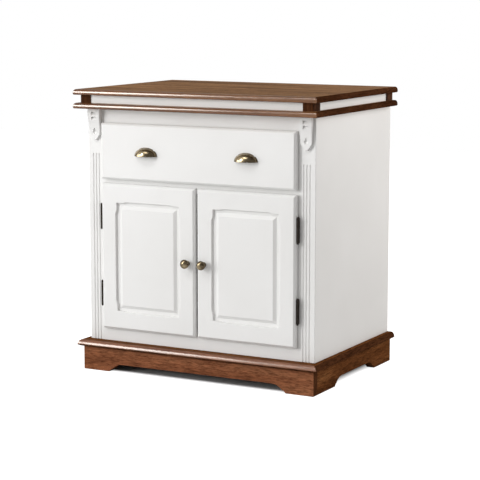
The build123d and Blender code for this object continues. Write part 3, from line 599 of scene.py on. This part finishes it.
# %% [markdown]
# ### Base moulding
# A frame of moulded lengths lies round the foot of the body, mitred at the front corners. Its
# edge has a rounded nose, a narrow face and a hollow under it that throws the dark line between
# moulding and plinth; the hollow and the underside are also painted dark as painted shade, and
# the shelf on top is painted in a shaded tone. Each length is a straight block with two cuts
# along it: the strip under the cuts is pushed in for the hollow, and the top edge is bevelled
# round for the nose.


# %% Base moulding: one length along X, then the same idea along Y
HOLLOW_HIGH, HOLLOW_END, HOLLOW_IN = 4 * MM, 6 * MM, 5 * MM
NOSE_OUT, NOSE_DOWN = 12 * MM, 17 * MM


def hollow_and_nose(piece, axis, tip, way, low, high):
    """Work the profile on the face at tip, whose outside points to way along the axis."""
    cut_across(piece, 2, [low.z + HOLLOW_HIGH, low.z + HOLLOW_END])
    pick(piece, "VERT", lambda corner: near(corner.co[axis], tip)
         and corner.co.z < low.z + (HOLLOW_HIGH + HOLLOW_END) / 2)
    inward = [0.0, 0.0, 0.0]
    inward[axis] = -way * HOLLOW_IN
    bpy.ops.transform.translate(value=inward)
    pick(piece, "EDGE", lambda edge: all(near(c.co[axis], tip) and near(c.co.z, high.z)
                                         for c in edge.verts))
    bpy.ops.mesh.bevel(offset=NOSE_OUT, segments=12, affect="EDGES", clamp_overlap=False)
    stretch_down(piece, high.z, NOSE_OUT, NOSE_DOWN)


def mitre(corner, square):
    """Cut everything off on the far side of a plane, and close the cut."""
    bpy.ops.mesh.select_all(action="SELECT")
    bpy.ops.mesh.bisect(plane_co=corner, plane_no=square, clear_outer=True, use_fill=True)


def moulding_finish(face):
    """The shelf on top is dull and in a painted shaded tone, the nose is polished, and the hollow
    under it is painted dark as painted shade.
    """
    if face.normal.z > 0.995:
        return 0
    return 1 if middle_of(face).z > low.z + HOLLOW_END - 0.5 * MM else 2


low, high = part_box("base_moulding_front")
front_length = block("base_moulding_front_length", low, high)
work_on(front_length)
hollow_and_nose(front_length, 1, low.y, -1, low, high)
mitre((low.x, low.y, low.z), (-1, 1, 0))
mitre((high.x, low.y, low.z), (1, 1, 0))
shade(front_length, 40)
# Painted shade: the shelf takes a shaded tone and the hollow under the nose the dark stain.
paint(front_length, (walnut_shelf, nose_x, end_grain_and_shade), moulding_finish)
settle(front_length, "cabinet", "walnut_lacquer", "base_moulding_front")

low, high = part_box("base_moulding_right")
side_length = block("base_moulding_right_length", low, high)
work_on(side_length)
hollow_and_nose(side_length, 0, high.x, 1, low, high)
mitre((high.x, low.y, low.z), (-1, -1, 0))
shade(side_length, 40)
# Painted shade: the hollow under the nose takes the dark stain.
paint(side_length, (walnut_y, edge_y, end_grain_and_shade), moulding_finish)
settle(side_length, "cabinet", "walnut_lacquer", "base_moulding_right")
settle(reflection(side_length, "base_moulding_left_length"), "cabinet", "walnut_lacquer",
       "base_moulding_left")

# %% [markdown]
# ### Plinth boards with cut-out feet
# The three boards that show have a long low arch between two feet: a small chamfer at the
# floor, a step, then a curve up to the crown. The board is a block that is cut across wherever
# the arch changes, and its bottom corners are then lifted to the height of the arch there.


# %% Plinth boards
CHAMFER, STEP_END = 8 * MM, 11 * MM
CURVE_LONG, CURVE_HIGH = 35 * MM, 18 * MM
FRONT_FOOT, SIDE_FOOT_FRONT, SIDE_FOOT_BACK = 94 * MM, 125 * MM, 127 * MM
PLINTH_INSET = 15 * MM


def arch_rise(out_from_foot):
    """Height of the arch at a distance from the end of a foot."""
    if out_from_foot <= CHAMFER:
        return max(0.0, out_from_foot)
    if out_from_foot <= STEP_END:
        return CHAMFER
    share = min(1.0, (out_from_foot - STEP_END) / CURVE_LONG)
    return CHAMFER + CURVE_HIGH * math.sin(share * math.pi / 2) ** 0.85


STEPS = [s * MM for s in (0, 8, 11, 13, 16, 20, 24, 29, 35, 41, 46)]


def arched_board(node, axis, first_foot, last_foot):
    low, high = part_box(node)
    board = block(node + "_arched", low, high)
    start, end = low[axis] + first_foot, high[axis] - last_foot
    work_on(board)
    cut_across(board, axis, [start + s for s in STEPS] + [end - s for s in STEPS])
    for s in STEPS:
        for place in (start + s, end - s):
            pick(board, "VERT", lambda corner: near(corner.co[axis], place)
                 and near(corner.co.z, low.z))
            bpy.ops.transform.translate(value=(0, 0, arch_rise(s)))
    soften(board, 1.0 * MM, sharper_than=28)
    return board


plinth_front = arched_board("plinth_front", 0, FRONT_FOOT, FRONT_FOOT)
paint(plinth_front, (walnut_x, end_grain_and_shade), lambda face: 1 if abs(face.normal.x) > 0.9
      and near(abs(middle_of(face).x), cad_high.x - PLINTH_INSET) else 0)
settle(plinth_front, "cabinet", "walnut_lacquer", "plinth_front")
plinth_right = arched_board("plinth_right", 1, SIDE_FOOT_FRONT, SIDE_FOOT_BACK)
paint(plinth_right, (walnut_y,))
settle(plinth_right, "cabinet", "walnut_lacquer", "plinth_right")
settle(reflection(plinth_right, "plinth_left_arched"), "cabinet", "walnut_lacquer", "plinth_left")

# %% [markdown]
# ### Fluted pilasters
# Each front stile carries three flutes: half-round grooves with round heads that run down to
# the base. They are cut with a round-nosed rod, which is a sphere whose lower half has been
# pulled down. One rod is made for each flute and carved out of the block.

# %% Pilasters
FLUTE, FLUTE_PITCH, FLUTE_DROP = 2.5 * MM, 10.5 * MM, 45 * MM
low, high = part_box("pilaster_right")
corbel_low, corbel_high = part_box("corbels")
flute_top = corbel_low.z - FLUTE_DROP
pilaster_middle = corbel_high.x - 23 * MM
pilaster = block("pilaster_right_fluted", low, high)
work_on(pilaster)
pick(pilaster, "EDGE", lambda edge: all(near(c.co.x, high.x) and near(c.co.y, low.y)
                                        for c in edge.verts))
bpy.ops.mesh.bevel(offset=1.5 * MM, segments=4, affect="EDGES")
for step in (-1, 0, 1):
    place = (pilaster_middle + step * FLUTE_PITCH, low.y, flute_top)
    bpy.ops.object.mode_set(mode="OBJECT")
    bpy.ops.mesh.primitive_uv_sphere_add(segments=24, ring_count=12, radius=FLUTE, location=place)
    rod = bpy.context.object
    bpy.ops.object.transform_apply(location=True, rotation=True, scale=True)
    work_on(rod)
    pick(rod, "VERT", lambda corner: corner.co.z < flute_top - 0.1 * MM)
    bpy.ops.transform.translate(value=(0, 0, low.z - flute_top - FLUTE))
    carve(pilaster, rod)
shade(pilaster, 35)
paint(pilaster, (white_z,))
settle(pilaster, "cabinet", "white_lacquer", "pilaster_right")
settle(reflection(pilaster, "pilaster_left_fluted"), "cabinet", "white_lacquer", "pilaster_left")

# %% [markdown]
# ### Corbels
# A small bracket is planted on each pilaster under the cornice. It is straight at the top,
# draws in to a waist and ends in a blunt point, and its face sweeps back from head to foot. Two
# hooded notches and a drop-shaped hollow are carved in it. The outline comes from cutting a
# block across at a few heights and drawing its sides and its face in there; the carving is done
# with two wedges and a stretched sphere.


# %% Corbel
HEAD_HALF, WAIST_HALF, TIP_HALF = 22 * MM, 18.2 * MM, 4 * MM
HEAD_END, WAIST, TIP = 20 * MM, 82 * MM, 100 * MM
SWEEP = 7 * MM


def half_width_at(below_top):
    """Half the corbel's width, at a distance below its top."""
    if below_top <= HEAD_END:
        return HEAD_HALF
    if below_top <= WAIST:
        return HEAD_HALF + (WAIST_HALF - HEAD_HALF) * (below_top - HEAD_END) / (WAIST - HEAD_END)
    return WAIST_HALF + (TIP_HALF - WAIST_HALF) * (below_top - WAIST) / (TIP - WAIST)


def sweep_at(below_top):
    """How far the face has swept back, at a distance below the top."""
    share = min(1.0, max(0.0, (below_top - HEAD_END) / (WAIST - HEAD_END)))
    return SWEEP * share * share * (3 - 2 * share)


top, face_y = corbel_high.z, corbel_low.y
corbel = block("corbel_right", (pilaster_middle - HEAD_HALF, face_y, corbel_low.z),
               (pilaster_middle + HEAD_HALF, corbel_high.y, top))
work_on(corbel)
heights = [h * MM for h in (20, 29, 38, 47, 56, 65, 74, 82)]
cut_across(corbel, 2, [top - below for below in heights])
for below in heights[1:] + [TIP]:
    pick(corbel, "VERT", lambda corner: near(corner.co.z, top - below)
         and near(corner.co.y, face_y))
    bpy.ops.transform.translate(value=(0, sweep_at(below), 0))
    for side in (-1, 1):
        pick(corbel, "VERT", lambda corner: near(corner.co.z, top - below)
             and (corner.co.x - pilaster_middle) * side > 0)
        drawn_in = HEAD_HALF - half_width_at(below)
        bpy.ops.transform.translate(value=(-side * drawn_in, 0, 0))
soften(corbel, 1.3 * MM, rings=3, sharper_than=32)

NOTCH_HALF, NOTCH_HIGH, NOTCH_DEEP = 8.5 * MM, 12.5 * MM, 7 * MM
for head in (top - 11 * MM, top - 26.5 * MM):
    wedge = block("wedge", (pilaster_middle - NOTCH_HALF, face_y - 2 * MM, head - NOTCH_HIGH),
                  (pilaster_middle + NOTCH_HALF, face_y + NOTCH_DEEP, head))
    work_on(wedge)
    cut_across(wedge, 2, [head - 3 * MM])
    pick(wedge, "VERT", lambda corner: near(corner.co.z, head - NOTCH_HIGH)
         and corner.co.y > face_y)
    bpy.ops.transform.translate(value=(0, -NOTCH_DEEP, 0))
    carve(corbel, wedge)

DROP_BELOW = 72 * MM
toe_y = face_y + sweep_at(DROP_BELOW)
bpy.ops.mesh.primitive_uv_sphere_add(segments=24, ring_count=14, radius=1.0,
                                     location=(pilaster_middle, toe_y, top - DROP_BELOW),
                                     scale=(7.5 * MM, 6 * MM, 10.5 * MM))
drop = bpy.context.object
bpy.ops.object.transform_apply(location=True, rotation=True, scale=True)
work_on(drop)
pick(drop, "VERT", lambda corner: corner.co.z > top - DROP_BELOW + MM)
bpy.ops.transform.resize(value=(0.55, 0.8, 1.0), center_override=(pilaster_middle, toe_y, 0))
carve(corbel, drop)
shade(corbel, 35)
paint(corbel, (white_z,))
settle(corbel, "cabinet", "white_lacquer", "corbels")
settle(reflection(corbel, "corbel_left"), "cabinet", "white_lacquer")

# %% [markdown]
# ### Drawer front
# A thick board with a wide bevel worked all round its face. In edit mode the face is inset by
# the width of the bevel, and the outer ring of corners is pushed back by its depth, which is
# how the mitred corners of a planed bevel come out exactly.


# %% Bevelled boards
def planed_bevel(board, face_y, width=6.5 * MM, depth=6 * MM):
    """Bevel a board all round its face, which lies at face_y."""
    pick(board, "FACE", lambda face: face.normal.y < -0.9)
    bpy.ops.mesh.inset(thickness=width, depth=0.0)
    across = [corner.co.x for corner in board.data.vertices]
    up = [corner.co.z for corner in board.data.vertices]
    pick(board, "VERT", lambda corner: near(corner.co.y, face_y)
         and (near(corner.co.x, min(across)) or near(corner.co.x, max(across))
              or near(corner.co.z, min(up)) or near(corner.co.z, max(up))))
    bpy.ops.transform.translate(value=(0, depth, 0))


low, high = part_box("drawer_front")
front = block("drawer_front_bevelled", low, high)
work_on(front)
planed_bevel(front, low.y)
soften(front, 0.9 * MM, rings=3)
paint(front, (white_x,))
settle(front, "drawer", "white_lacquer", "drawer_front")

# %% [markdown]
# ### Door frames
# Two stiles and two rails, lacquered over so that the joints vanish, make a frame with the same
# planed bevel outside. The window is not a plain rectangle: each side is straight near the
# corners and hollowed a few millimetres in between. The board is cut across at the corners of
# the window and wherever the hollow changes, the window is deleted and its two rims bridged,
# and the rim is then pushed out to the line of the hollow.


# %% Door frame
STILE, RAIL = 57 * MM, 60 * MM
STRAIGHT, EASE = 20 * MM, 14 * MM
LEVEL_HOLLOW, UPRIGHT_HOLLOW = 3 * MM, 4.5 * MM


def hollow_at(place, start, end, depth):
    """How far a side of the window is hollowed at a place between its two corners."""
    from_corner = min(place - start, end - place)
    share = min(1.0, max(0.0, (from_corner - STRAIGHT) / EASE))
    return depth * share * share * (3 - 2 * share)


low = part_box("right_door_lock_stile")[0]
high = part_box("right_door_hinge_stile")[1]
face_y = low.y
x0, x1, z0, z1 = low.x + STILE, high.x - STILE, low.z + RAIL, high.z - RAIL
EASES = [s * MM for s in (0, 20, 22.5, 25, 27.5, 30, 34)]
frame_right = block("right_door_frame", low, high)
work_on(frame_right)
planed_bevel(frame_right, face_y)
cut_across(frame_right, 0, [x0 + s for s in EASES] + [x1 - s for s in EASES])
cut_across(frame_right, 2, [z0 + s for s in EASES] + [z1 - s for s in EASES])
pick(frame_right, "FACE", lambda face: abs(face.normal.y) > 0.9
     and x0 < middle_of(face).x < x1 and z0 < middle_of(face).z < z1)
bpy.ops.mesh.delete(type="FACE")
pick(frame_right, "EDGE", lambda edge: len(edge.link_faces) == 1)
bpy.ops.mesh.bridge_edge_loops()
for axis, corners, depth in ((0, (x0, x1), LEVEL_HOLLOW), (2, (z0, z1), UPRIGHT_HOLLOW)):
    across = 2 - axis
    for s in EASES[1:]:
        for place in (corners[0] + s, corners[1] - s):
            bow = hollow_at(place, corners[0], corners[1], depth)
            for rim, way in zip(((z0, z1) if axis == 0 else (x0, x1)), (-1, 1)):
                pick(frame_right, "VERT", lambda corner: near(corner.co[axis], place)
                     and near(corner.co[across], rim))
                push = [0.0, 0.0, 0.0]
                push[across] = way * bow
                bpy.ops.transform.translate(value=push)
pick(frame_right, "EDGE", lambda edge: all(
    near(c.co.y, face_y) and x0 - 5 * MM < c.co.x < x1 + 5 * MM
    and z0 - 5 * MM < c.co.z < z1 + 5 * MM for c in edge.verts)
    and any(abs(face.normal.y) < 0.2 for face in edge.link_faces))
bpy.ops.mesh.bevel(offset=2 * MM, segments=2, affect="EDGES", clamp_overlap=False)
soften(frame_right, 0.8 * MM, sharper_than=35)
paint(frame_right, (white_z,))
settle(frame_right, "right_door", "white_lacquer", "right_door_lock_stile",
       "right_door_hinge_stile", "right_door_rails")
settle(reflection(frame_right, "left_door_frame"), "left_door", "white_lacquer",
       "left_door_lock_stile", "left_door_hinge_stile", "left_door_rails")

# %% [markdown]
# ### Raised panels
# The panel floats in the frame. Its face steps up from a flat margin over a bevel to the raised
# field, so the front face of a thin board is inset once for the margin and then inset and
# lifted for the bevel.

# %% Raised panel
MARGIN, FIELD_BEVEL, FIELD_LIFT = 20 * MM, 10 * MM, 6.5 * MM
low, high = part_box("right_door_panel")
margin_y = face_y + 8 * MM
panel = block("right_door_raised_panel", (low.x, margin_y, low.z), high)
work_on(panel)
pick(panel, "FACE", lambda face: face.normal.y < -0.9)
bpy.ops.mesh.inset(thickness=MARGIN, depth=0.0)
bpy.ops.mesh.inset(thickness=FIELD_BEVEL, depth=FIELD_LIFT)
soften(panel, 0.7 * MM, rings=3, sharper_than=20)
paint(panel, (white_z,))
settle(panel, "right_door", "white_lacquer", "right_door_panel")
settle(reflection(panel, "left_door_raised_panel"), "left_door", "white_lacquer",
       "left_door_panel")

# %% [markdown]
# ### Knobs
# A knob is turned on a lathe, and it is modelled the same way: a short cylinder is its foot, and
# the front face is drawn out step by step to the next height and shrunk or grown to the next
# radius of the profile.


# %% Turned knob
def turn(name, centre, profile):
    """Turn a piece that stands out towards -Y: a list of (height, radius) from the foot up."""
    foot_height, foot_radius = profile[0]
    bpy.ops.mesh.primitive_cylinder_add(vertices=48, radius=foot_radius, depth=foot_height,
                                        location=centre + Vector((0, -foot_height / 2, 0)),
                                        rotation=(math.pi / 2, 0, 0))
    piece = bpy.context.object
    piece.name = piece.data.name = name
    bpy.ops.object.transform_apply(location=True, rotation=True, scale=True)
    work_on(piece)
    pick(piece, "FACE", lambda face: face.normal.y < -0.9)
    for (height, radius), (next_height, next_radius) in zip(profile, profile[1:]):
        bpy.ops.mesh.extrude_region_move(
            TRANSFORM_OT_translate={"value": (0, height - next_height, 0)})
        bpy.ops.transform.resize(value=(next_radius / radius, 1, next_radius / radius),
                                 center_override=centre)
    work_on(piece, "OBJECT")
    return piece


def paint_wear_and_highlight(piece, spot, reach):
    """Record a bright patch: one at the spot, fading out around it; partly hand rubbing, partly a
    painted highlight.
    """
    worn_and_highlight = piece.data.attributes.new("worn_and_highlight", "FLOAT", "POINT")
    for corner, value in zip(piece.data.vertices, worn_and_highlight.data):
        away = [(c - s) / r for c, s, r in zip(corner.co, spot, reach)]
        value.value = math.exp(-sum(a * a for a in away))


KNOB_PROFILE = [(1.9, 8.5), (2.4, 8.1), (2.6, 7.4), (3.4, 6.6), (5.0, 5.7), (7.5, 5.1),
                (9.5, 5.1), (11.0, 5.8), (11.8, 7.4), (12.4, 9.6), (13.6, 11.9), (15.3, 13.5),
                (17.4, 14.3), (19.6, 14.5), (21.6, 14.1), (23.6, 13.0), (25.4, 11.2),
                (26.8, 8.8), (27.8, 6.0), (28.3, 3.2), (28.5, 0.8)]
low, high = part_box("right_door_knob")
knob_root = Vector(((low.x + high.x) / 2, high.y, (low.z + high.z) / 2))
knob = turn("right_door_turned_knob", knob_root, [(h * MM, r * MM) for h, r in KNOB_PROFILE])
shade(knob, 40)
# Partly a painted highlight: the knob's bright patch sits where the light catches it.
paint_wear_and_highlight(knob, knob_root + Vector((-4, -27, -6)) * MM, (9 * MM, 8 * MM, 7 * MM))
paint(knob, (aged_brass,))
settle(knob, "right_door", "aged_brass", "right_door_knob")
settle(reflection(knob, "left_door_turned_knob"), "left_door", "aged_brass", "left_door_knob")

# %% [markdown]
# ### Cup pulls
# A cup pull is pressed from sheet: a quarter of a flattened ball, open below for the fingers,
# with a narrow flange against the drawer. It starts as a stretched sphere, two cuts keep the
# quarter, the back rim is drawn out for the flange, and Solidify gives the sheet its thickness.

# %% Cup pull
low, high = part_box("cup_pulls")
PULL_HALF, PULL_HIGH, PULL_OUT = 41 * MM, high.z - low.z, high.y - low.y
FLANGE, FLANGE_THICK, SHEET, FLARE = 1.8 * MM, 1.5 * MM, 1.3 * MM, 1.02
pull_place = Vector((high.x - PULL_HALF, high.y, low.z))
bpy.ops.mesh.primitive_uv_sphere_add(segments=72, ring_count=36, radius=1.0, location=pull_place,
                                     scale=(PULL_HALF - FLANGE, PULL_OUT, PULL_HIGH - FLANGE))
pull = bpy.context.object
pull.name = pull.data.name = "cup_pull_right"
bpy.ops.object.transform_apply(location=True, rotation=True, scale=True)
work_on(pull)
bpy.ops.mesh.select_all(action="SELECT")
bpy.ops.mesh.bisect(plane_co=pull_place - Vector((0, FLANGE_THICK, 0)), plane_no=(0, 1, 0),
                    clear_outer=True)
bpy.ops.mesh.select_all(action="SELECT")
bpy.ops.mesh.bisect(plane_co=pull_place, plane_no=(0, 0, -1), clear_outer=True)
pick(pull, "EDGE", lambda edge: all(near(c.co.y, pull_place.y - FLANGE_THICK)
                                    for c in edge.verts))
bpy.ops.mesh.extrude_edges_move(TRANSFORM_OT_translate={"value": (0, 0.8 * MM, 0)})
bpy.ops.transform.resize(value=(FLARE, 1, FLARE), center_override=pull_place)
bpy.ops.mesh.extrude_edges_move(TRANSFORM_OT_translate={"value": (0, 0, 0)})
rim = (PULL_HALF - 0.3 * MM) / ((PULL_HALF - FLANGE) * FLARE)
bpy.ops.transform.resize(value=(rim, 1, rim), center_override=pull_place)
work_on(pull, "OBJECT")
sheet = pull.modifiers.new("sheet", "SOLIDIFY")
sheet.thickness, sheet.offset = SHEET, -1.0
rolled = pull.modifiers.new("rolled edge", "BEVEL")
rolled.width, rolled.segments, rolled.limit_method = 0.45 * MM, 2, "ANGLE"
rolled.angle_limit = math.radians(50)
apply_all(pull)
shade(pull, 45)
# Partly a painted highlight: the pull's bright patch sits where the light catches it.
paint_wear_and_highlight(pull, pull_place + Vector((-13, -18, 12)) * MM, (19 * MM, 16 * MM, 10 * MM))
print("pull box", [round(v * 1000, 1) for v in pull.dimensions], "node",
      [round(v * 1000, 1) for v in (high - low)])
paint(pull, (aged_brass,))
settle(pull, "drawer", "aged_brass", "cup_pulls")
settle(twin(pull, "cup_pull_left", (-2 * pull_place.x, 0, 0)), "drawer", "aged_brass")

# %% [markdown]
# ## Studio
# A plain pale floor and four soft lights: a tall, narrow one at the front left is the main light
# and draws the bright lines along the mouldings, a broad one further left fills its shadows, one
# behind on the right lights the side panel, and a small one above the front catches the tops of
# the bevels. The camera sees a plain white surround; the metal and the lacquer see a softer grey.
# The floor carries the cabinet's shadow close round it; a little way out, a glow that only the
# camera sees paints it the same white, over the cast shadow that falls there.


# %% Floor
bpy.ops.mesh.primitive_plane_add(size=14.0, location=(0, 0, cad_low.z - 0.2 * MM))
floor = bpy.context.object
floor.name = "studio_floor"
paper = bpy.data.materials.new("studio_paper")
paper.use_nodes = True
tree = paper.node_tree
tree.nodes.clear()
matt = tree.nodes.new("ShaderNodeBsdfDiffuse")
matt.inputs["Color"].default_value = (0.60, 0.60, 0.60, 1)
glow = tree.nodes.new("ShaderNodeEmission")
glow.inputs["Color"].default_value = (1, 1, 1, 1)
path = tree.nodes.new("ShaderNodeLightPath")
place = tree.nodes.new("ShaderNodeTexCoord")
value = place.outputs["Object"]
# Painted light and shade: the camera-only glow is left out under and near the cabinet, so its
# shadow shows only there, and farther out it paints over the cast shadow.
SHADOW_INSET, FADE_OVER, ANY_HEIGHT = (0.067, 0.057), 0.036, 10.0
footprint = (cad_high.x - SHADOW_INSET[0], cad_high.y - SHADOW_INSET[1], ANY_HEIGHT)
for step, by in (("ABSOLUTE", (0, 0, 0)), ("SUBTRACT", footprint), ("MAXIMUM", (0, 0, 0)),
                 ("MULTIPLY", (1.0, 1.4, 0.0)), ("LENGTH", (0, 0, 0))):
    maths = tree.nodes.new("ShaderNodeVectorMath")
    maths.operation = step
    tree.links.new(value, maths.inputs[0])
    maths.inputs[1].default_value = by
    value = maths.outputs["Value" if step == "LENGTH" else "Vector"]
painted_shadow_fade = tree.nodes.new("ShaderNodeMapRange")
for key, number in (("From Min", 0.0), ("From Max", FADE_OVER), ("To Min", 0.0), ("To Max", 0.92)):
    painted_shadow_fade.inputs[key].default_value = number
tree.links.new(value, painted_shadow_fade.inputs["Value"])
level = tree.nodes.new("ShaderNodeMath")
level.operation = "MULTIPLY"
tree.links.new(path.outputs["Is Camera Ray"], level.inputs[0])
tree.links.new(painted_shadow_fade.outputs["Result"], level.inputs[1])
tree.links.new(level.outputs[0], glow.inputs["Strength"])
both = tree.nodes.new("ShaderNodeAddShader")
tree.links.new(matt.outputs[0], both.inputs[0])
tree.links.new(glow.outputs[0], both.inputs[1])
out = tree.nodes.new("ShaderNodeOutputMaterial")
tree.links.new(both.outputs[0], out.inputs["Surface"])
floor.data.materials.append(paper)
print("floor at", round(floor.location.z, 5))

# %% Surround
world = bpy.data.worlds.new("studio")
bpy.context.scene.world = world
world.use_nodes = True
tree = world.node_tree
tree.nodes.clear()
ambient = tree.nodes.new("ShaderNodeBackground")
ambient.inputs["Color"].default_value = (1.0, 0.99, 0.98, 1)
ambient.inputs["Strength"].default_value = 0.415
backdrop = tree.nodes.new("ShaderNodeBackground")
backdrop.inputs["Color"].default_value = (1, 1, 1, 1)
backdrop.inputs["Strength"].default_value = 1.0
path = tree.nodes.new("ShaderNodeLightPath")
seen = tree.nodes.new("ShaderNodeMath")
seen.operation = "MAXIMUM"
tree.links.new(path.outputs["Is Camera Ray"], seen.inputs[0])
tree.links.new(path.outputs["Is Transmission Ray"], seen.inputs[1])
either = tree.nodes.new("ShaderNodeMixShader")
tree.links.new(seen.outputs[0], either.inputs[0])
tree.links.new(ambient.outputs[0], either.inputs[1])
tree.links.new(backdrop.outputs[0], either.inputs[2])
out = tree.nodes.new("ShaderNodeOutputWorld")
tree.links.new(either.outputs[0], out.inputs["Surface"])
print("surround", world.name)


# %% Lamps
def softbox(name, place, aim, width, height, power, colour=(1.0, 1.0, 1.0)):
    lamp = bpy.data.lights.new(name, "AREA")
    lamp.color = colour
    lamp.shape = "RECTANGLE"
    lamp.size, lamp.size_y, lamp.energy = width, height, power
    holder = bpy.data.objects.new(name, lamp)
    bpy.context.scene.collection.objects.link(holder)
    holder.location = place
    holder.rotation_euler = (Vector(aim) - Vector(place)).to_track_quat("-Z", "Y").to_euler()


middle = (cad_low + cad_high) / 2
softbox("key_softbox", (-3.93, -5.58, 2.75), middle, 1.0, 3.6, 205)
softbox("fill_softbox", (-5.20, -3.60, 1.20), middle, 2.4, 2.0, 90)
softbox("side_softbox", (3.05, 4.35, 1.89), middle, 2.2, 2.2, 192, (1.0, 0.965, 0.935))
softbox("top_softbox", (-0.90, -2.90, 4.10), middle, 1.6, 1.0, 38)

# %% [markdown]
# ## Camera
# The camera stands to the right of the front, a little above the worktop, far enough away for
# the calm perspective of a catalogue.

# %% Camera
aim = middle + Vector((0.011, -0.001, -0.038))
azimuth, elevation, distance = math.radians(28.28), math.radians(8.53), 5.493
away = Vector((math.sin(azimuth) * math.cos(elevation),
               -math.cos(azimuth) * math.cos(elevation), math.sin(elevation)))
camera = bpy.data.objects.new("camera", bpy.data.cameras.new("camera"))
bpy.context.scene.collection.objects.link(camera)
camera.location = aim + away * distance
camera.rotation_euler = (math.pi / 2 - elevation, 0.0, azimuth)
camera.data.lens = 128.1
camera.data.sensor_width = 36.0
bpy.context.scene.camera = camera
bpy.context.scene.view_settings.view_transform = "Standard"
print("camera at", [round(v, 3) for v in camera.location])
